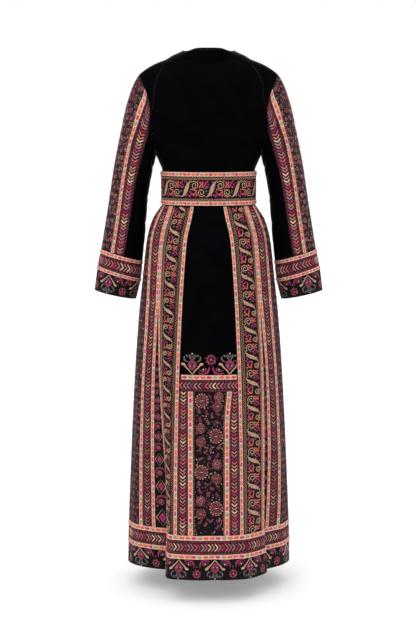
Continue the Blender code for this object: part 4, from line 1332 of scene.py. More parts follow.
def tulip(pen, size, ears=(-1.0, 1.0)):
    """A bud under a roof of two pale lines, with wings and curls, bent leaves and a stem below."""
    middle = pen.at(0, 0, size=size)
    for m in (-1.0, 1.0):
        half = pen.at(0, 0, size=size, mirror=m)
        half.stroke([(0, -0.50), (0.13, -0.34), (0.27, -0.17)], 0.042, "cream", DETAIL_HEIGHT, 0.6)
        wing = [
            (0.18, -0.31), (0.28, -0.24), (0.39, -0.12), (0.55, -0.04),
            (0.48, 0.04), (0.37, 0.03), (0.27, -0.12),
        ]
        half.shape(wing, "tan")
        half.stroke([(0.21, -0.26), (0.33, -0.10), (0.46, 0.00)], 0.055, "brown", DETAIL_HEIGHT)
        half.dot(0.47, 0.00, 0.034, "cream", DETAIL_HEIGHT, 5)
        outer = [(0.19, 0.08), (0.30, 0.11), (0.37, 0.18), (0.39, 0.27), (0.36, 0.35)]
        half.stroke(outer, [0.05, 0.10, 0.12, 0.09, 0.03], "ash", THREAD_HEIGHT, 1.0)
        half.stroke([(0.39, 0.20), (0.385, 0.29), (0.35, 0.36)], 0.045, "grey", DETAIL_HEIGHT)
        inner = [(0.06, 0.16), (0.09, 0.26), (0.15, 0.35), (0.24, 0.39)]
        half.stroke(inner, [0.05, 0.10, 0.09, 0.03], "ash", THREAD_HEIGHT, 1.0)
        half.leaf((0.0, 0.30), (0.13, 0.46), 0.07, "ash", -0.15)
        half.leaf((0.26, 0.28), (0.30, 0.42), 0.06, "grey", 0.15)
    flank = [(0.13, -0.26), (0.25, -0.09), (0.19, 0.08), (0.07, 0.17)]
    bud = [(0, -0.40), *flank, (0, 0.24), *((-x, y) for x, y in reversed(flank))]
    middle.shape(bud, "claret")
    middle.shape([(x * 0.55, y * 0.60 - 0.03) for x, y in bud], "plum", THREAD_HEIGHT * 1.25)
    for m in (-1.0, 1.0):
        middle.dot(m * 0.085, -0.11, 0.052, "cream", DETAIL_HEIGHT * 1.3, corners=5)
        middle.leaf((m * 0.05, 0.14), (m * 0.17, 0.00), 0.040, "magenta", 0.1, DETAIL_HEIGHT * 1.2)
        middle.dot(m * 0.05, -0.22, 0.028, "magenta", DETAIL_HEIGHT * 1.3, corners=5)
        middle.dot(m * 0.15, -0.04, 0.024, "rose", DETAIL_HEIGHT * 1.3, corners=5)
    middle.dot(0, 0.06, 0.034, "rose", DETAIL_HEIGHT * 1.3, corners=5)
    middle.stroke([(0, 0.20), (0, 0.30), (0, 0.42)], 0.040, "brown", DETAIL_HEIGHT)
    middle.dot(0, 0.455, 0.050, "tan", DETAIL_HEIGHT, 7)
    for m in ears:
        ear = pen.at(0, 0, size=size, mirror=m)
        ear.leaf((0.28, -0.30), (0.70, -0.22), 0.22, "plum", -0.16, THREAD_HEIGHT * 0.8)
        path = [(0.25, -0.38), (0.36, -0.47), (0.52, -0.50), (0.68, -0.44), (0.78, -0.28), (0.79, -0.08)]
        ear.stroke(path, [0.05, 0.10, 0.14, 0.15, 0.13, 0.07], "claret")
        curl = [(0.38, -0.34), (0.50, -0.38), (0.62, -0.33), (0.62, -0.22), (0.50, -0.19)]
        ear.stroke(curl, 0.060, "magenta")
        ear.dot(0.51, -0.28, 0.045, "cream", DETAIL_HEIGHT)
        for x, y in path[1:5]:
            ear.dot(x, y, 0.026, "rose", DETAIL_HEIGHT, corners=5)


def leaf_spray(pen, size, leaves, tip):
    """A bent stem with leaves on both sides and a knot at its end."""
    stem = [(0, 0.5), (0.08, 0.2), (0.06, -0.1), (-0.06, -0.38)]
    pen.stroke(np.array(stem) * size, size * 0.07, "grey")
    for k, (x, y) in enumerate(((0.07, 0.30), (0.09, 0.10), (0.06, -0.10), (0.0, -0.26))):
        for m in (-1.0, 1.0):
            end = (x + m * (0.30 - 0.04 * k), y - 0.20)
            pen.leaf((x * size, y * size), (end[0] * size, end[1] * size), size * 0.13, leaves, 0.15 * m)
    pen.dot(-0.08 * size, -0.44 * size, size * 0.10, tip)


# Bands


def long_line(pen, share, inset, width, colour, height=THREAD_HEIGHT, step=0.012):
    """A thread along the whole chart, at a share of its width from the middle, less an inset."""
    chart = pen.chart
    y = np.linspace(0.001, chart.length - 0.001, max(3, int(chart.length / step)))
    x = chart.width(y) * share - math.copysign(inset, share)
    pen.stroke(np.stack([x, y], axis=-1), width, colour, height)


CHEVRON_PITCH = 0.0094
ZIGZAG_PERIOD = 0.0066
CHEVRON_COLOURS = (
    "cream", "tan", "cream", "rose", "magenta", "coral", "rose", "grey", "magenta", "tan", "rose", "wine",
    "coral", "tan", "cream", "tan", "rose", "magenta", "grey", "rose", "coral", "magenta", "tan", "rose",
)
STRAND = {
    # colour of the finer strand that runs beside each arrowhead's own
    "cream": "tan", "tan": "brown", "rose": "tan", "magenta": "rose", "coral": "rose", "wine": "magenta",
    "grey": "tan",
}


def chevron_band(stitches, chart, towards=1.0, start=0, thick=0.0040):
    """Nested arrowheads along a strip between two dotted rows of small stitches."""
    pen = Pen(stitches, chart)
    count = int(chart.length / CHEVRON_PITCH)
    step = chart.length / count
    for k in range(count):
        y = (k + 0.5) * step
        width = float(chart.width(y))
        reach, rise = width * 0.27, min(width * 0.26, 0.0080)
        colour = CHEVRON_COLOURS[(k + start) % len(CHEVRON_COLOURS)]
        low, high = y + towards * rise * 0.5, y - towards * rise * 0.5
        for m in (-1.0, 1.0):
            path = [(m * reach, high), (m * reach * 0.5, (high + low) / 2), (m * 0.0002, low)]
            pen.stroke(path, thick * np.array([0.70, 1.0, 0.95]), colour, THREAD_HEIGHT * 1.2, ends=1.0)
            beside = [(x, at - towards * thick * 0.42) for x, at in path]
            pen.stroke(beside, thick * 0.34, STRAND[colour], DETAIL_HEIGHT, ends=1.0)
    count = int(chart.length / 0.0048)
    for k in range(count):
        y = (k + 0.5) * chart.length / count
        width = float(chart.width(y))
        for m in (-1.0, 1.0):
            colour = ("magenta", "rose", "magenta", "coral")[(k + int(m)) % 4]
            pen.dot(m * width * 0.395, y, 0.0013, colour, corners=4, stretch=1.3, turn=45.0)
    for m in (-1.0, 1.0):
        long_line(pen, m * 0.5, 0.0014, 0.0013, "plum")
        long_line(pen, m * 0.325, 0.0, 0.0010, "plum", THREAD_HEIGHT * 0.7)


def zigzag_band(stitches, chart):
    """A zigzag between two straight lines of thread."""
    pen = Pen(stitches, chart)
    count = max(2, int(chart.length / ZIGZAG_PERIOD)) * 2
    y = np.linspace(0.001, chart.length - 0.001, count + 1)
    reach = chart.width(y) * 0.21 * np.where(np.arange(count + 1) % 2, 1.0, -1.0)
    pen.stroke(np.stack([reach, y], axis=-1), 0.0019, "tan")
    for share, colour in ((-0.5, "wine"), (0.5, "tan")):
        long_line(pen, share, 0.0011, 0.0013, colour, THREAD_HEIGHT * 0.8)


SPIRALS = {
    # spirals of a scroll strip: centre across and along, radius, first and last angle
    "even": ((0.20, 0.55, 0.235, -50.0, 510.0), (-0.20, 0.82, 0.220, 135.0, 690.0)),
    "uneven": ((0.30, 0.555, 0.185, -50.0, 490.0), (-0.13, 0.860, 0.265, 135.0, 690.0)),
}
SCROLL_TWIGS = [
    ((-0.06, 0.64), (-0.20, 0.60), (-0.30, 0.53)),
    ((-0.06, 0.64), (-0.08, 0.55), (-0.03, 0.49)),
    ((0.02, 0.73), (0.14, 0.75), (0.24, 0.80)),
    ((0.06, 0.80), (0.18, 0.86), (0.33, 0.86)),
    ((-0.36, 0.68), (-0.34, 0.62), (-0.26, 0.62)),
    ((0.30, 0.74), (0.36, 0.78), (0.42, 0.76)),
]
SCROLL_KNOTS = [
    # across, along, radius, colour
    (-0.32, 0.51, 0.058, "coral"), (-0.02, 0.47, 0.050, "coral"), (0.27, 0.81, 0.055, "coral"),
    (0.36, 0.87, 0.050, "coral"), (-0.28, 0.43, 0.080, "magenta"), (-0.40, 0.36, 0.070, "magenta"),
    (-0.16, 0.38, 0.062, "magenta"), (-0.32, 0.29, 0.058, "magenta"), (0.33, 0.98, 0.075, "magenta"),
    (0.20, 0.94, 0.066, "magenta"), (0.41, 1.05, 0.060, "magenta"), (0.10, 1.02, 0.060, "rose"),
    (0.24, 1.08, 0.055, "magenta"), (-0.41, 0.60, 0.050, "magenta"), (0.42, 0.68, 0.045, "rose"),
    (0.10, 0.90, 0.045, "grey"), (-0.11, 1.00, 0.045, "grey"), (-0.03, 0.40, 0.045, "grey"),
    (-0.42, 0.74, 0.045, "wine"), (0.10, 0.12, 0.050, "wine"), (0.38, 0.24, 0.050, "magenta"),
    (-0.36, 0.20, 0.045, "grey"),
]


SCROLL_LEAF = [
    # across, along, thickness
    (-0.44, -0.02, 0.04), (-0.40, 0.06, 0.10), (-0.28, 0.14, 0.21), (-0.10, 0.20, 0.27),
    (0.10, 0.25, 0.26), (0.28, 0.30, 0.19), (0.40, 0.36, 0.09), (0.46, 0.44, 0.04),
]


def scroll_band(stitches, chart, mirror=1.0, pitch=SCROLL_PITCH, offset=0.0, spirals="even"):
    """Leaning pale leaves joined by pairs of spirals, with coral twigs and magenta flowers between them."""
    count = max(1, round((chart.length - offset) / pitch))
    path, thick = np.array(SCROLL_LEAF)[:, :2], np.array(SCROLL_LEAF)[:, 2]
    for k in range(-1, count + 1):
        top = offset + k * pitch
        if top + pitch * 1.05 < 0.0 or top > chart.length:
            continue
        w = float(chart.width(min(max(top + pitch / 2, 0.0), chart.length)))
        pen = Pen(stitches, chart, 0.0, top, mirror=mirror)
        cell = np.array([w, pitch])
        leaf = path * cell
        strokes = [(leaf, w * thick, "tan", DETAIL_HEIGHT)]
        for i in range(2, 6):
            for t in (0.0, 0.5):
                at, step = leaf[i] * (1 - t) + leaf[i + 1] * t, leaf[i + 1] - leaf[i]
                across = np.array([-step[1], step[0]]) / np.linalg.norm(step) * w * thick[i] * 0.42
                vein = np.array([at - across, at, at + across])
                strokes.append((vein, 0.0012, "brown", DETAIL_HEIGHT * 1.2))
        (ax, ay, ar, a0, a1), (bx, by, br, b0, b1) = SPIRALS[spirals]
        first = arc(ax * w, ay * pitch, ar * w, a0, a1, 24, 1.0, 0.05 * w)
        second = arc(bx * w, by * pitch, br * w, b0, b1, 24, 1.0, 0.05 * w)
        strokes.append((np.concatenate([leaf[-1:], first]), 0.0026, "tan", THREAD_HEIGHT * 1.3))
        start = (path[:1] + np.array([0.0, 1.0])) * cell
        strokes.append((np.concatenate([start, second]), 0.0026, "tan", THREAD_HEIGHT * 1.3))
        strokes += [(np.array(twig) * cell, w * 0.105, "coral", THREAD_HEIGHT) for twig in SCROLL_TWIGS]
        for line, wide, colour, height in strokes:
            inside = np.flatnonzero((top + line[:, 1] > 0.001) & (top + line[:, 1] < chart.length - 0.001))
            if len(inside) > 2 or len(inside) == len(line):
                keep = slice(inside[0], inside[-1] + 1)
                pen.stroke(line[keep], np.broadcast_to(wide, (len(line),))[keep], colour, height, ends=0.5)
        for x, y, radius, colour in SCROLL_KNOTS:
            if 0.003 < top + y * pitch < chart.length - 0.003:
                pen.dot(x * w, y * pitch, 1.3 * radius * w, colour, THREAD_HEIGHT, 6)


PETALS = ("magenta", "rose", "magenta", "coral", "wine", "rose")
LEAVES = ("tan", "rose", "tan", "grey", "tan", "wine")
DARK_PETALS = ("magenta", "wine", "claret", "rose", "wine", "plum")
DARK_LEAVES = ("brown", "wine", "ash", "claret", "wine")


def floral_field(stitches, chart, seed, cell=FLORAL_CELL, petals=PETALS, leaf_colours=LEAVES):
    """A close field of small flowers, paisleys and leaf sprays among curling vines."""
    random = np.random.default_rng(seed)
    pen = Pen(stitches, chart)
    rows = max(1, round(chart.length / cell))
    step = chart.length / rows
    for r in range(rows):
        y = (r + 0.5) * step
        width = float(chart.width(y))
        count = max(1, round(width / cell))
        limit = width / 2 - cell * 0.36
        for c in range(count):
            x = ((c + (0.68 if r % 2 else 0.32)) / count - 0.5) * width
            x += float(random.uniform(-0.1, 0.1)) * cell
            x = min(max(x, -limit), limit)
            dy = float(random.uniform(-0.12, 0.12)) * cell
            mirror = 1.0 if random.random() < 0.5 else -1.0
            at = pen.at(x, y + dy, turn=float(random.uniform(0.0, 360.0)), mirror=mirror)
            petal = petals[int(random.integers(0, len(petals)))]
            leaves = leaf_colours[int(random.integers(0, len(leaf_colours)))]
            kind = (r + 2 * c + int(random.integers(0, 2))) % 5
            if kind in (0, 3):
                heart = "cream" if random.random() < 0.6 else "coral"
                rosette(at, cell * 0.30, petal, heart, petals=5 + kind // 3)
                at.stroke(arc(0, 0, cell * 0.44, 20.0, 190.0, 7), cell * 0.06, leaves)
                at.dot(cell * 0.40, cell * 0.10, cell * 0.07, "coral", corners=5)
            elif kind == 1:
                paisley(at, cell * 0.80, leaves, "wine", petal)
            elif kind == 2:
                leaf_spray(at, cell * 0.95, leaves, petal)
            else:
                at.stroke(arc(0, 0, cell * 0.40, 30.0, 420.0, 13, 1.0, cell * 0.10), cell * 0.085, leaves)
                at.dot(0, 0, cell * 0.13, petal)
                for angle in (80.0, 170.0, 250.0, 330.0):
                    px, py = arc(0, 0, cell * 0.46, angle, angle, 1)[0]
                    at.dot(px, py, cell * 0.075, petal, corners=5)
            for _ in range(2):
                angle = float(random.uniform(0.0, 2.0 * math.pi))
                dx, dy = math.cos(angle) * cell * 0.54, math.sin(angle) * cell * 0.54
                if abs(x) + cell * 0.56 < width / 2:
                    colour = ("grey", "rose", "coral", "magenta")[int(random.integers(0, 4))]
                    at.dot(dx, dy, cell * 0.055, colour, corners=5)


INSET_FLOWERS = [
    # across as a share of half the width, along as a share of the cell, radius, rim, petal
    (-0.47, 0.24, 0.0185, "tan", "claret"),
    (0.52, 0.03, 0.0130, "rose", "claret"),
    (0.50, 0.41, 0.0136, "brown", "magenta"),
    (-0.60, 0.56, 0.0076, "coral", "rose"),
    (-0.12, 0.58, 0.0074, "rose", "magenta"),
    (0.58, 0.62, 0.0074, "coral", "claret"),
    (0.22, 0.68, 0.0070, "magenta", "rose"),
    (-0.52, 0.78, 0.0078, "rose", "magenta"),
    (-0.02, 0.86, 0.0074, "claret", "rose"),
    (0.56, 0.86, 0.0074, "rose", "magenta"),
    (0.02, 0.12, 0.0060, "coral", "claret"),
]


def inset_field(stitches, chart):
    """Large scalloped flowers down the inset, with leaf sprays, knots and small leaves between them."""
    random = np.random.default_rng(INSET_SEED)
    pen = Pen(stitches, chart)
    rows = round(chart.length / INSET_CELL)
    step = chart.length / rows
    for r in range(rows):
        side = 1.0 if r % 2 else -1.0
        placed = []
        for number, (across, along, radius, rim, petal) in enumerate(INSET_FLOWERS):
            y = (r + along) * step + float(random.uniform(-0.0015, 0.0015))
            x = -side * across * float(chart.width(y)) / 2
            if radius > 0.0100:
                reach = radius * 1.12
                y = min(max(y, reach), chart.length - reach)
                at = pen.at(x, y, turn=float(random.uniform(-14.0, 14.0)))
                ring_flower(at, radius, rim, petal, pale=number % 2)
            elif reach_fits(chart, y, 2 * radius):
                at = pen.at(x, y, turn=side * float(random.uniform(20.0, 80.0)), mirror=side)
                leaf_spray(at, 2.1 * radius, petal, rim)
            placed.append((x, y, radius))
        for k in range(INSET_KNOTS):
            y = (r + float(random.random())) * step
            x = float(random.uniform(-0.46, 0.46)) * float(chart.width(y))
            if not 0.003 < y < chart.length - 0.003:
                continue
            if any(math.hypot(x - fx, y - fy) < radius * 1.22 for fx, fy, radius in placed):
                continue
            colour = ("magenta", "rose", "cream", "rose", "claret", "grey")[int(random.integers(0, 6))]
            if k % 3 == 0:
                angle = float(random.uniform(0.0, 6.28))
                tip = (x + 0.0048 * math.cos(angle), y + 0.0048 * math.sin(angle))
                pen.leaf((x, y), tip, 0.0026, colour, 0.15)
            else:
                pen.dot(x, y, 0.0019 if k % 3 == 1 else 0.0011, colour, corners=5)
    dotted_edge(pen, -1.0, 0.0018)
    dotted_edge(pen, 1.0, 0.0018)


def reach_fits(chart, y, reach):
    """Whether a motif of this reach at y stays between the chart's ends."""
    return reach < y < chart.length - reach


def dotted_edge(pen, m, inset):
    """A row of tan knots along one edge of the pen's chart."""
    chart = pen.chart
    for y in np.arange(0.003, chart.length - 0.002, 0.0046):
        pen.dot(m * (float(chart.width(y)) / 2 - inset), y, 0.0015, "tan", DETAIL_HEIGHT, corners=5)


def tulip_row(stitches, chart, pitch, size, offset):
    """Buds under roofs along a band, with curls and a round flower between each two.

    y runs along the band, and offset moves the row along it by a share of the pitch.
    """
    count = round(chart.length / pitch)
    step = chart.length / count
    turn = -90.0 if chart.points[0, 0, 2] > chart.points[0, -1, 2] else 90.0
    for k in range(count):
        for share in (0.0, 0.5):
            y = ((k + 0.5 + offset + share) % count) * step
            upright = Pen(stitches, chart, 0.0, y, turn=turn)
            if share:
                ringed_rosette(upright.at(0, size * 0.21), size * 0.200, "magenta", "cream", "coral")
                upright.dot(0, -size * 0.16, size * 0.035, "coral")
            else:
                tulip(upright, size)


def godet_column(stitches, chart, wide_side):
    """Diamonds outlined in tan and wine curls between them, counted from the hem up to the godet's point."""
    y, k = chart.length - 0.003, 0
    while y > 0.12:
        width = float(chart.width(y))
        size = min(max(width * 1.15, 0.012), 0.060)
        pen = Pen(stitches, chart, 0.0, y - size / 2)
        if width > 0.008 and k % 2:
            half_paisley(pen.at(0.0, 0.0, mirror=wide_side), min(size, width * 0.95), "wine", "rose")
            pen.dot(-0.32 * width, size * 0.30, size * 0.07, "coral")
        elif width > 0.008:
            for m in (-1.0, 1.0):
                half = [(0, -size * 0.48), (m * width * 0.40, 0), (0, size * 0.48)]
                pen.stroke(half, size * 0.090, "tan")
            for across, along, colour, height in (
                (0.24, 0.32, "magenta", THREAD_HEIGHT),
                (0.13, 0.18, "wine", DETAIL_HEIGHT),
            ):
                diamond = np.array([(0, -along), (across, 0), (0, along), (-across, 0)]) * size
                pen.shape(diamond, colour, height)
            pen.dot(0, 0, size * 0.06, "cream", DETAIL_HEIGHT * 1.2)
        y -= max(size * 0.95, 0.022)
        k += 1


def centre_foot(stitches, chart):
    """Two of the hem's buds the other way up, with a round flower between them, above the inset."""
    middle = Pen(stitches, chart, FOOT_MIDDLE_X, chart.length)
    for m in (-1.0, 1.0):
        tulip(middle.at(m * FOOT_BUD_X, -FOOT_BUD_RISE, turn=180.0), FOOT_BUD_SIZE, ears=(m,))
        middle.dot(m * FOOT_KNOT_X, -FOOT_KNOT_RISE, FOOT_KNOT_RADIUS, "magenta")
    ringed_rosette(middle.at(0.0, -FOOT_FLOWER_RISE), FOOT_FLOWER_RADIUS, "magenta", "cream", "coral")


BRAID_PROFILE = [
    # share across, lift
    (0.02, 0.0), (0.05, 0.0011), (0.12, 0.0013), (0.19, 0.0008), (0.35, 0.0009), (0.50, 0.0010),
    (0.65, 0.0009), (0.81, 0.0008), (0.88, 0.0013), (0.95, 0.0011), (0.98, 0.0),
]
DASHES = (("coral", 0.58), ("coral", 0.56), ("fuchsia", 0.52), ("olive", 0.48))
CLOSE_DASHES = (
    ("fuchsia", 0.54), ("coral", 0.56), ("coral", 0.54), ("fuchsia", 0.48), ("olive", 0.46), ("coral", 0.56),
)


DASH_OUTLINE = [
    (0.5, -1.0), (1.0, -0.6), (1.0, 0.6), (0.5, 1.0), (-0.5, 1.0), (-1.0, 0.6), (-1.0, -0.6), (-0.5, -1.0),
]


def braid_tape(name, chart, replaced=None, start=0, closed=False, close=False):
    """A woven braid with corded edges and a chain of oval stitches down its middle."""
    count = max(2, int(chart.length / 0.0042))
    y = np.linspace(0.0, chart.length, count + 1)
    shares = np.array([share for share, _ in BRAID_PROFILE])
    lifts = np.array([lift for _, lift in BRAID_PROFILE])
    width = chart.width(y)
    cord = 1.0 + 0.10 * np.where(np.arange(count + 1) % 2, 1.0, -1.0)
    x = (shares[None, :] - 0.5) * width[:, None]
    wave = np.where((lifts > 0.0010)[None, :], cord[:, None], 1.0)
    lift = GAP + lifts[None, :] * wave
    profile = len(shares)
    points = chart.place(x.ravel(), np.repeat(y, profile), lift.ravel())
    r, c = np.meshgrid(np.arange(count), np.arange(profile - 1), indexing="ij")
    a, b = r * profile + c, r * profile + c + 1
    d, e = (r + 1) * profile + c + 1, (r + 1) * profile + c
    top = np.stack([a, b, d, e], axis=-1).reshape(-1, 4)
    rr = np.arange(count)
    left, right = rr * profile, rr * profile + profile - 1
    under = np.stack([right, left, left + profile, right + profile], axis=-1)
    faces = [np.concatenate([top[:, [0, 1, 2]], top[:, [0, 2, 3]]]),
             np.concatenate([under[:, [0, 1, 2]], under[:, [0, 2, 3]]])]
    if not closed:
        for first, flip in ((0, False), (count * profile, True)):
            i = np.arange(1, profile - 1)
            fan = np.stack([np.full(len(i), first), first + i + 1, first + i], axis=-1)
            faces.append(fan[:, ::-1] if flip else fan)
    faces = np.concatenate(faces)
    if not chart.upright:
        faces = faces[:, ::-1]
    uv = np.stack([x.ravel(), np.repeat(y, profile)], axis=-1)
    stitches = Stitches()
    pen = Pen(stitches, chart)
    dashes = CLOSE_DASHES if close else DASHES
    number = max(1, round(chart.length / (0.0118 if close else 0.0165)))
    step = chart.length / number
    for k in range(number):
        at = (k + 0.5) * step
        w = float(chart.width(at))
        colour, long = dashes[(k + start) % len(dashes)]
        outline = np.array(DASH_OUTLINE) * np.array([w * 0.32, step * long]) + np.array([0.0, at])
        pen.shape(outline, colour, DETAIL_HEIGHT + GAP + 0.0008)
    for share in (-0.48, 0.48):
        long_line(pen, share, 0.0003, 0.0012, "brown", DETAIL_HEIGHT + GAP + 0.0002, step=0.016)
    points = np.concatenate([points, *stitches.points])
    thread_faces = np.concatenate(stitches.faces) + count * profile + profile
    face_material = np.concatenate([np.zeros(len(faces), int), 1 + np.concatenate(stitches.colours)])
    made = mesh_object(
        name, points, np.concatenate([faces, thread_faces]), np.concatenate([uv, *stitches.uv]),
        [MATERIALS["tape"], *THREAD_MATERIALS], face_material,
    )
    if replaced:
        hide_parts(replaced)
    return made


def part_of(chart_points, chart_normals, first, last, flipped=False):
    """The chart of some columns of a grid, run the other way if it is flipped."""
    points, normals = chart_points[:, first : last + 1], chart_normals[:, first : last + 1]
    if flipped:
        points, normals = points[:, ::-1], normals[:, ::-1]
    return Chart(points, normals)


def rows_chart(points, normals, first, last, closed=True):
    """The chart of some rows of a grid, with y running round it and x down it."""
    band, band_normals = points[first : last + 1], normals[first : last + 1]
    if closed:
        band = np.concatenate([band, band[:, :1]], axis=1)
        band_normals = np.concatenate([band_normals, band_normals[:, :1]], axis=1)
    return Chart(band.swapaxes(0, 1), band_normals.swapaxes(0, 1))


def side_name(side):
    return "left" if side < 0 else "right"


def lies_on(piece, cloth):
    piece["lies_on"] = cloth.name
    return piece


# The dress, piece by piece


STRIP_GROUND = {
    "wide_braid": "zigzag_ground", "zigzag": "zigzag_ground", "scroll": "scroll_ground",
    "edge_zigzag": "zigzag_ground", "edge_braid": "zigzag_ground", "godet": "border_ground",
    "side_braid": "wine_ground", "chevron": "wine_ground", "thin_braid": "wine_ground",
    "floral": "dark_floral",
}


def dress_strip(stitches, name, side, chart, seed):
    """The embroidery of one strip."""
    plain = name.removeprefix("front_")
    if plain in ("zigzag", "edge_zigzag"):
        zigzag_band(stitches, chart)
    elif plain == "scroll":
        offset, spirals = SCROLL_START[side]
        scroll_band(stitches, chart, offset=offset, spirals=spirals)
    elif plain == "chevron":
        chevron_band(stitches, chart, start=seed, thick=0.0024)
    elif plain == "floral":
        floral_field(stitches, chart, seed, petals=DARK_PETALS, leaf_colours=DARK_LEAVES)
    elif plain == "godet":
        godet_column(stitches, chart, side)


def build_skirt_panels():
    """Scroll panels, godets, side panels and front scroll panels, with all that is sewn on them."""
    heights = heights_between(WAIST_Z, BORDER_TOP_Z, keep=(SPREAD_Z, GODET_TOP_Z, INSET_TOP_Z))
    for side in (-1, 1):
        for panel, (first, last) in PANELS.items():
            rows = heights if panel != "godet" else [z for z in heights if z <= GODET_TOP_Z]
            spans = strip_spans(first, last)
            points, normals = skirt_grid(
                rows, lambda z: np.array(skirt_columns(side, z, first, last)) * side
            )
            grounds = [(end, STRIP_GROUND[name.removeprefix("front_")]) for name, (_, end) in spans.items()]
            node = f"{panel}_{side_name(side)}"
            solids = [node]
            if "scroll" in panel:
                solids = [f"{panel}_{part}_{side_name(side)}" for part in ("upper", "lower")]
            cloth = shell(
                "cloth_" + node, points, normals, VELVET, solids, grounds,
            )
            stitches = Stitches()
            top = next(i for i, z in enumerate(rows) if z <= EMBROIDERY_TOP_Z)
            for k, (name, (start, end)) in enumerate(spans.items()):
                chart = part_of(points[top:], normals[top:], start, end, flipped=side < 0)
                if "braid" not in name:
                    dress_strip(stitches, name, side, chart, seed=3 + 7 * k + (side > 0))
                    continue
                solid = {
                    "wide_braid": "back_braid", "side_braid": "side_braid",
                    "front_side_braid": "front_side_braid", "front_wide_braid": "front_braid",
                }.get(name)
                replaced = f"{solid}_{side_name(side)}" if solid else None
                trim = braid_tape(f"trim_{name}_{side_name(side)}", chart, replaced, start=k)
                lies_on(trim, cloth)
            stitches.build("stitches_" + node, cloth)


def build_centre_panels():
    """The middle back panel in velvet, the inset below it, and the middle front panel."""
    rows = heights_between(WAIST_Z, INSET_TOP_Z)
    points, normals = skirt_grid(rows, centre_columns)
    cloth = shell(
        "cloth_back_centre_panel", points, normals, VELVET, ["back_centre_panel"],
        "velvet",
    )
    stitches = Stitches()
    centre_foot(stitches, Chart(points, normals))
    stitches.build("stitches_back_centre_panel", cloth)
    build_inset()
    rows = heights_between(WAIST_Z, BORDER_TOP_Z)
    points, normals = [], []
    for i, z in enumerate(rows):
        inward = GAP / 2 if i == 0 else -GAP / 2 if i == len(rows) - 1 else 0.0
        right = half_girth(1, z) - strip_edges(1, z)["front_wide_braid"] - GAP / 2
        left = half_girth(-1, z) - strip_edges(-1, z)["front_wide_braid"] - GAP / 2
        z_in = round(z - inward, 6)
        first, first_normal = skirt_row(z_in, half_girth(1, z) - np.linspace(right, 0.0, 20))
        second, second_normal = skirt_row(z_in, -half_girth(-1, z) + np.linspace(0.0, left, 20))
        points.append(np.concatenate([first, second[1:]]))
        normals.append(np.concatenate([first_normal, second_normal[1:]]))
    points, normals = np.array(points), np.array(normals)
    shell(
        "cloth_front_centre_panel", points, normals, VELVET, ["front_centre_panel"],
        "velvet",
    )


def build_inset():
    """The inset: a braid and a level chevron band at its top, then chevrons, braids and the flower field."""
    rows = heights_between(INSET_TOP_Z, BORDER_TOP_Z, keep=(INSET_BRAID_FOOT_Z, INSET_CHEVRON_FOOT_Z))
    points, normals = skirt_grid(rows, inset_columns)
    ends = np.cumsum(INSET_CELLS)
    braid_foot = rows.index(INSET_BRAID_FOOT_Z)
    chevron_foot = rows.index(INSET_CHEVRON_FOOT_Z)
    grounds = ["wine_ground", "wine_ground", "border_ground", "wine_ground", "wine_ground"]
    cloth = shell(
        "cloth_back_inset", points, normals, VELVET, ["back_inset"],
        list(zip(ends, grounds)), level=[(0, chevron_foot, "wine_ground")],
    )
    stitches = Stitches()
    starts = [0, *ends[:-1]]
    for k in (0, 4):
        chart = part_of(points[chevron_foot:], normals[chevron_foot:], starts[k], ends[k])
        chevron_band(stitches, chart, start=4 * k)
    inset_field(stitches, part_of(points[chevron_foot:], normals[chevron_foot:], starts[2], ends[2]))
    level = rows_chart(points, normals, braid_foot, chevron_foot, closed=False)
    chevron_band(stitches, level, towards=-1.0, start=5)
    stitches.build("stitches_back_inset", cloth)
    for k, name in ((1, "left"), (3, "right")):
        chart = part_of(points[chevron_foot:], normals[chevron_foot:], starts[k], ends[k])
        lies_on(braid_tape(f"trim_inset_{name}", chart, f"inset_braid_{name}", start=k), cloth)
    top = rows_chart(points[:, 1:-1], normals[:, 1:-1], 0, braid_foot, closed=False)
    lies_on(braid_tape("trim_inset_top", top, "inset_top_braid", start=2), cloth)


def build_border():
    """The hem border all round: braid, level chevrons, braid, and buds on dark velvet."""
    keep = (BORDER_BRAID_FOOT_Z, LOWER_BRAID_TOP_Z, LOWER_BRAID_FOOT_Z)
    rows = heights_between(BORDER_TOP_Z, HEM_Z, step=BAND_STEP, keep=keep)
    points, normals = [], []
    for i, z in enumerate(rows):
        around = np.linspace(-half_girth(-1, z), half_girth(1, z), HEM_COLUMNS + 1)[:-1]
        row, normal = skirt_row(round(z - (GAP / 2 if i == 0 else 0.0), 6), around)
        points.append(row)
        normals.append(normal)
    points, normals = np.array(points), np.array(normals)
    a, b, c = (rows.index(z) for z in keep)
    cloth = shell(
        "cloth_hem_border", points, normals, BAND_CLOTH, ["hem_border"],
        "border_ground", closed=True,
        level=[(0, c, "wine_ground")],
    )
    stitches = Stitches()
    chevron_band(stitches, rows_chart(points, normals, a, b), thick=0.0034)
    tulip_row(stitches, rows_chart(points, normals, c, len(rows) - 1), *HEM_BUDS)
    stitches.build("stitches_hem_border", cloth)
    upper = rows_chart(points, normals, 0, a)
    lies_on(braid_tape("trim_border_upper", upper, "border_braid_upper", closed=True), cloth)
    lower = rows_chart(points, normals, b, c)
    lies_on(braid_tape("trim_border_lower", lower, "border_braid_lower", closed=True, start=3), cloth)


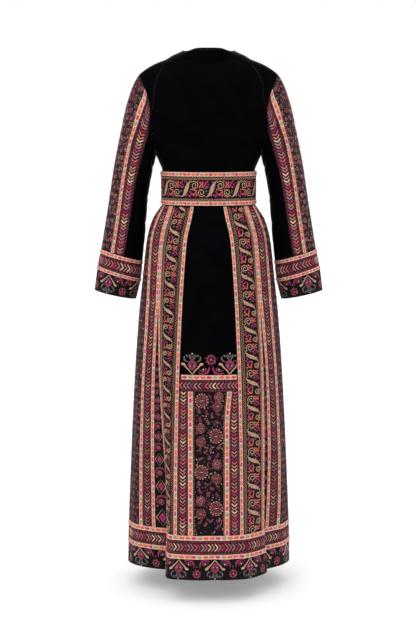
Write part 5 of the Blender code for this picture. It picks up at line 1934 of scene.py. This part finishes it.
def build_bodice():
    """Back bodice in one piece and two front pieces parted by the neck slit."""
    half = bodice_columns()
    columns = np.concatenate([-half, half[::-1][1:]])
    points, normals = bodice_grid(columns, -1)
    cloth = shell("cloth_back_bodice", points, normals, VELVET, ["back_bodice"], "velvet")
    stitches = Stitches()
    for side in (-1, 1):
        seam_line(stitches, [(side * x, z) for x, z in ((0.116, -0.026), (0.133, -0.050), (0.145, -0.083),
                                                        (0.150, -0.149))])
    stitches.build("stitches_back_bodice", cloth)
    for side in (-1, 1):
        front, normals = bodice_grid(half * side, 1)
        part = SLIT_HALF * smooth((front[:, -1, 2] - SLIT_FOOT_Z) / 0.03)
        front[:, -1, 0] += side * np.maximum(part, GAP / 2)
        normals[:, -1, 0] = 0.0
        normals[:, -1] /= np.linalg.norm(normals[:, -1], axis=1, keepdims=True)
        node = f"front_bodice_{side_name(side)}"
        shell("cloth_" + node, front, normals, VELVET, [node], "velvet")


def build_collar():
    """A band round the neck that stands at the back and lies flat towards the slit in front."""
    neck = neck_columns()
    seam = []
    for columns, face in (
        (-neck[::-1], 1),
        (-neck[1:], -1),
        (neck[::-1][1:-1], -1),
        (neck, 1),
    ):
        points, normals = bodice_grid(columns, face)
        seam += list(zip(points[0], normals[0]))
    base = np.array([point for point, normal in seam])
    base_normal = np.array([normal for point, normal in seam])
    base[0, 0], base[-1, 0] = -SLIT_HALF, SLIT_HALF
    back = np.where(base[:, 1:2] < 0.001, 1.0, 0.0)
    along = np.gradient(base, axis=0)
    beyond = np.cross(along, base_normal)
    beyond *= np.sign(beyond[len(neck) + 5, 2])
    beyond /= np.linalg.norm(beyond, axis=1, keepdims=True)
    forward = smooth((base[:, 1:2] + 0.02) / 0.10)
    side = np.abs(base[:, :1] / NECK_HALF) ** 2
    stand = COLLAR_STAND * (1.0 - forward)
    rise = beyond * (1.0 - stand) + np.array([0.0, 0.0, 1.0]) * stand
    slope = math.radians(COLLAR_SIDE_SLOPE)
    inward = np.zeros_like(base)
    inward[:, 0] = -np.sign(base[:, 0]) * math.cos(slope)
    inward[:, 2] = math.sin(slope)
    rise = rise * (1.0 - side) + inward * side
    rise /= np.linalg.norm(rise, axis=1, keepdims=True)
    middle = np.where(back > 0, COLLAR_BACK, COLLAR_FRONT)
    height = middle + (COLLAR_SIDE - middle) * side
    base = base + beyond * GAP
    grid = np.array([base + rise * height * share for share in np.linspace(1.0, 0.0, 7)])
    normals = grid_normals(grid, False)
    normals *= np.sign(np.sum(normals[-1] * base_normal))
    normals[-1] = base_normal
    cloth = shell(
        "cloth_collar", grid, normals, VELVET, ["collar"], "collar_velvet",
    )
    chart = rows_chart(grid, normals, 0, len(grid) - 1, closed=False)
    y = np.linspace(0.002, chart.length - 0.002, 60)
    stitches = Stitches()
    Pen(stitches, chart).stroke(np.stack([0.0045 - chart.width(y) / 2, y], axis=-1), 0.0016, "seam")
    stitches.build("stitches_collar", cloth)


def seam_line(stitches, path):
    """A faint seam on the back bodice along a path of x and z."""
    z = np.linspace(path[0][1], path[-1][1], 24)
    x = np.interp(z, *zip(*[(at, across) for across, at in reversed(path)]))
    u = np.arcsin(x / eased(BODY, 1, z)) / half_turn(z)
    strip = [body_point(u + shift, z, -1) for shift in (-0.008, 0.0, 0.008)]
    points = np.stack(strip, axis=1)
    normals = np.stack([body_normal(u, z, -1)] * 3, axis=1)
    chart = Chart(points, normals)
    y = np.linspace(0.001, chart.length - 0.001, 24)
    Pen(stitches, chart).stroke(np.stack([np.zeros(24), y], axis=-1), 0.0013, "seam", THREAD_HEIGHT * 0.4)


def build_sleeves():
    """Each sleeve with its braids, chevron bands and floral outer side, and its cuff."""
    places = np.concatenate([np.linspace(0.0, 2.0, 17), np.linspace(2.0, CUFF_TOP_RING - CUFF_PART, 44)[1:]])
    top = SLEEVE[CUFF_TOP_RING][1]
    drop = top - SLEEVE[len(SLEEVE) - 1][1]
    stops = [*CUFF_BANDS, drop]
    shares = [0.0]
    for high, low in zip(stops, stops[1:]):
        count = max(1, round((low - high) / CUFF_ROW))
        shares += [reach / drop for reach in cells_between(high, low, count)]
    cuff_rows = np.array([CUFF_TOP_RING + ring_share(share) for share in shares])
    cuff_rows[0] += CUFF_PART
    sleeve_turns = np.radians([sleeve_columns(place) for place in places])
    sleeve_places = np.broadcast_to(places[:, None], sleeve_turns.shape)
    turns = np.linspace(0.0, 2.0 * math.pi, CUFF_COLUMNS, endpoint=False)
    for side in (-1, 1):
        name = side_name(side)
        points, normals = sleeve_surface(sleeve_turns, sleeve_places)
        cloth = shell(
            f"cloth_sleeve_{name}", mirrored(points, side), mirrored(normals, side), VELVET,
            [f"sleeve_{name}"], sleeve_grounds(side), closed=True,
        )
        dress_sleeve(side, cloth)
        grid = np.meshgrid(cuff_rows, turns, indexing="ij")
        points, normals = sleeve_surface(grid[1], grid[0])
        points, normals = mirrored(points, side), mirrored(normals, side)
        rows = [int(np.argmin(np.abs(np.array(shares) - band / drop))) for band in CUFF_BANDS]
        cuff = shell(
            f"cloth_cuff_{name}", points, normals, BAND_CLOTH, [f"cuff_{name}"],
            "border_ground", closed=True,
            level=[(0, rows[3], "wine_ground")],
        )
        stitches = Stitches()
        chevron_band(stitches, rows_chart(points, normals, rows[1], rows[2]), towards=float(side))
        tulips = rows_chart(points, normals, rows[3], len(shares) - 1)
        tulip_row(stitches, tulips, *CUFF_BUDS[side])
        stitches.build(f"stitches_cuff_{name}", cuff)
        for where, first, last in (("upper", 0, 1), ("lower", 2, 3)):
            chart = rows_chart(points, normals, rows[first], rows[last])
            solid = f"cuff_braid_{where}_{name}"
            trim = braid_tape(f"trim_cuff_{where}_{name}", chart, solid, closed=True, close=True)
            lies_on(trim, cuff)


def sleeve_grounds(side):
    """Ground of each column of a sleeve: speckled on the outer side, wine under chevrons, velvet inside."""
    grounds = ("floral_ground", "floral_ground", "wine_ground", "velvet")
    half = [ground for ground, cells in zip(grounds, SLEEVE_CELLS) for _ in range(cells)]
    full = half + half[::-1]
    if side < 0:
        full = full[-2::-1] + full[-1:]
    return [(i + 1, ground) for i, ground in enumerate(full)]


SLEEVE_CHART_ROWS = 64
MIRROR = np.array([-1.0, 1.0, 1.0])


def sleeve_chart(low, high, face, side, start, end, cells=6):
    """The chart of a lengthwise band of a sleeve, its rows run square to the sleeve.

    low and high give the band's edges at a place, in degrees from the outer edge; face is +1 behind and
    -1 in front.
    """
    line = np.linspace(start, end, SLEEVE_CHART_ROWS)
    lean = sleeve_lean(line) * smooth(line / 2.4)
    share = np.linspace(0.0, 1.0, cells + 1)
    places, angles = [], []
    for place, tilt in zip(line, lean):
        first, last = low(place), high(place)
        angle = first + (last - first) * share
        middle = math.cos(math.radians((first + last) / 2))
        places.append(place + tilt * (np.cos(np.radians(angle)) - middle))
        angles.append(angle)
    places = np.clip(np.array(places), 0.02, CUFF_TOP_RING - 0.02)
    angles = np.array(angles)
    turns = np.radians(angles if face > 0 else 360.0 - angles)
    points, normals = sleeve_surface(turns, places)
    if side < 0:
        points, normals = points * MIRROR, normals * MIRROR
    return Chart(points, normals)


def dress_sleeve(side, cloth):
    """Braid, chevron band and flowers of one sleeve, behind and in front."""
    name = side_name(side)
    edge = [lambda place, k=k: float(eased(SLEEVE_BANDS, k, place)) for k in (1, 2, 3)]
    stitches = Stitches()
    for face, where in ((1, "back"), (-1, "front")):
        braid = sleeve_chart(edge[0], edge[1], face, side, start=0.03, end=CUFF_TOP_RING - 0.05, cells=2)
        trim = braid_tape(f"trim_sleeve_{where}_{name}", braid, f"sleeve_braid_{where}_{name}", start=2)
        lies_on(trim, cloth)
        chevron = sleeve_chart(edge[1], edge[2], face, side, start=0.10, end=CUFF_TOP_RING - 0.10)
        chevron_band(stitches, chevron, start=4, thick=0.0046)
        flowers = sleeve_chart(
            lambda place: 2.0, edge[0], face, side, start=0.12, end=CUFF_TOP_RING - 0.12, cells=8
        )
        floral_field(stitches, flowers, seed=11 if face > 0 else 12, cell=SLEEVE_FLORAL_CELL)
        dotted_edge(Pen(stitches, flowers), 1.0, 0.0024)
    stitches.build(f"stitches_sleeve_{name}", cloth)


def build_belt():
    """A stiff embroidered belt with a braid along each edge."""
    edges = (0.0, BELT_BRAID, BELT_BRAID + BELT_ZIGZAG)
    stops = [BELT_TOP_Z - edge for edge in edges] + [BELT_FOOT_Z + edge for edge in edges[::-1]]
    rows = heights_between(BELT_TOP_Z, BELT_FOOT_Z, step=BAND_STEP, keep=stops[1:-1])
    points = np.array([belt_ring(z, BAND_CLOTH) for z in rows])
    normals = grid_normals(points, True)
    cloth = shell(
        "cloth_belt", points, normals, BAND_CLOTH, ["belt"], "scroll_ground",
        closed=True,
    )
    at = [rows.index(round(z, 6)) for z in stops]
    stitches = Stitches()
    zigzag_band(stitches, rows_chart(points, normals, at[1], at[2]))
    zigzag_band(stitches, rows_chart(points, normals, at[3], at[4]))
    scroll_band(stitches, rows_chart(points, normals, at[2], at[3]), mirror=-1.0, pitch=BELT_SCROLL_PITCH)
    stitches.build("stitches_belt", cloth)
    for where, first, last in (("upper", 0, 1), ("lower", 4, 5)):
        chart = rows_chart(points, normals, at[first], at[last])
        trim = braid_tape(f"trim_belt_{where}", chart, f"belt_braid_{where}", closed=True, close=True)
        lies_on(trim, cloth)


# Stage

FLOOR_Z = HEM_Z - 0.063
FLOOR_HALF = 30.0
CAMERA_PLACE = (-0.0016, -4.2, -0.17)
CAMERA_TILT = 7.139
CAMERA_LENS = 89.0
CAMERA_SENSOR = 36.0
KEY_PLACE, KEY_AIM = (-2.2, -3.6, 2.6), (0.0, 0.0, -0.6)
KEY_SIZE, KEY_POWER = 2.4, 45.0
SUNS = [
    # name, angle, power, direction, whether it casts shadows
    ("overhead", 80.0, 0.9, (0.0, -0.06, -1.0), True),
    ("overhead_fill", 20.0, 1.0, (0.0, 0.0, -1.0), False),
]


def add_lamp(name, kind, power, direction):
    """A lamp that shines along a direction."""
    light = bpy.data.lights.new(name, kind)
    light.energy = power
    lamp = bpy.data.objects.new(name, light)
    lamp.rotation_euler = Vector(direction).to_track_quat("-Z", "Y").to_euler()
    bpy.context.scene.collection.objects.link(lamp)
    return lamp, light


def build_floor():
    """A pale floor that catches the shadow."""
    mesh = bpy.data.meshes.new("floor")
    corners = [(x * FLOOR_HALF, y * FLOOR_HALF, FLOOR_Z) for x, y in ((-1, -1), (1, -1), (1, 1), (-1, 1))]
    mesh.from_pydata(corners, [], [(0, 1, 2, 3)])
    floor = bpy.data.objects.new("floor", mesh)
    bpy.context.scene.collection.objects.link(floor)
    surface = Surface("floor", flat=False)
    grain = surface.texture("Noise", Scale=2.0, Detail=2.0)
    surface.colour(surface.ramp(grain.outputs["Fac"], (0.70, 0.70, 0.70), (0.72, 0.72, 0.72)))
    mesh.materials.append(surface.finish(0.9, 0.0))


def build_stage():
    """Floor, white surroundings, a soft key light, two suns overhead and the camera."""
    build_floor()
    scene = bpy.context.scene
    scene.world = bpy.data.worlds.new("studio")
    scene.world.use_nodes = True
    background = scene.world.node_tree.nodes["Background"]
    background.inputs["Color"].default_value = (1.0, 1.0, 1.0, 1.0)
    background.inputs["Strength"].default_value = 1.0
    lamp, light = add_lamp("key", "AREA", KEY_POWER, np.array(KEY_AIM) - np.array(KEY_PLACE))
    lamp.location = KEY_PLACE
    light.shape = "DISK"
    light.size = KEY_SIZE
    for name, angle, power, direction, shadow in SUNS:
        lamp, light = add_lamp(name, "SUN", power, direction)
        light.angle = math.radians(angle)
        light.use_shadow = shadow
    camera = bpy.data.cameras.new("camera")
    camera.lens = CAMERA_LENS
    camera.sensor_width = CAMERA_SENSOR
    holder = bpy.data.objects.new("camera", camera)
    holder.location = CAMERA_PLACE
    holder.rotation_euler = (math.radians(90.0 - CAMERA_TILT), 0.0, 0.0)
    scene.collection.objects.link(holder)
    scene.camera = holder
    scene.view_settings.view_transform = "Standard"


build_stage()
build_bodice()
build_collar()
build_sleeves()
build_belt()
build_skirt_panels()
build_centre_panels()
build_border()
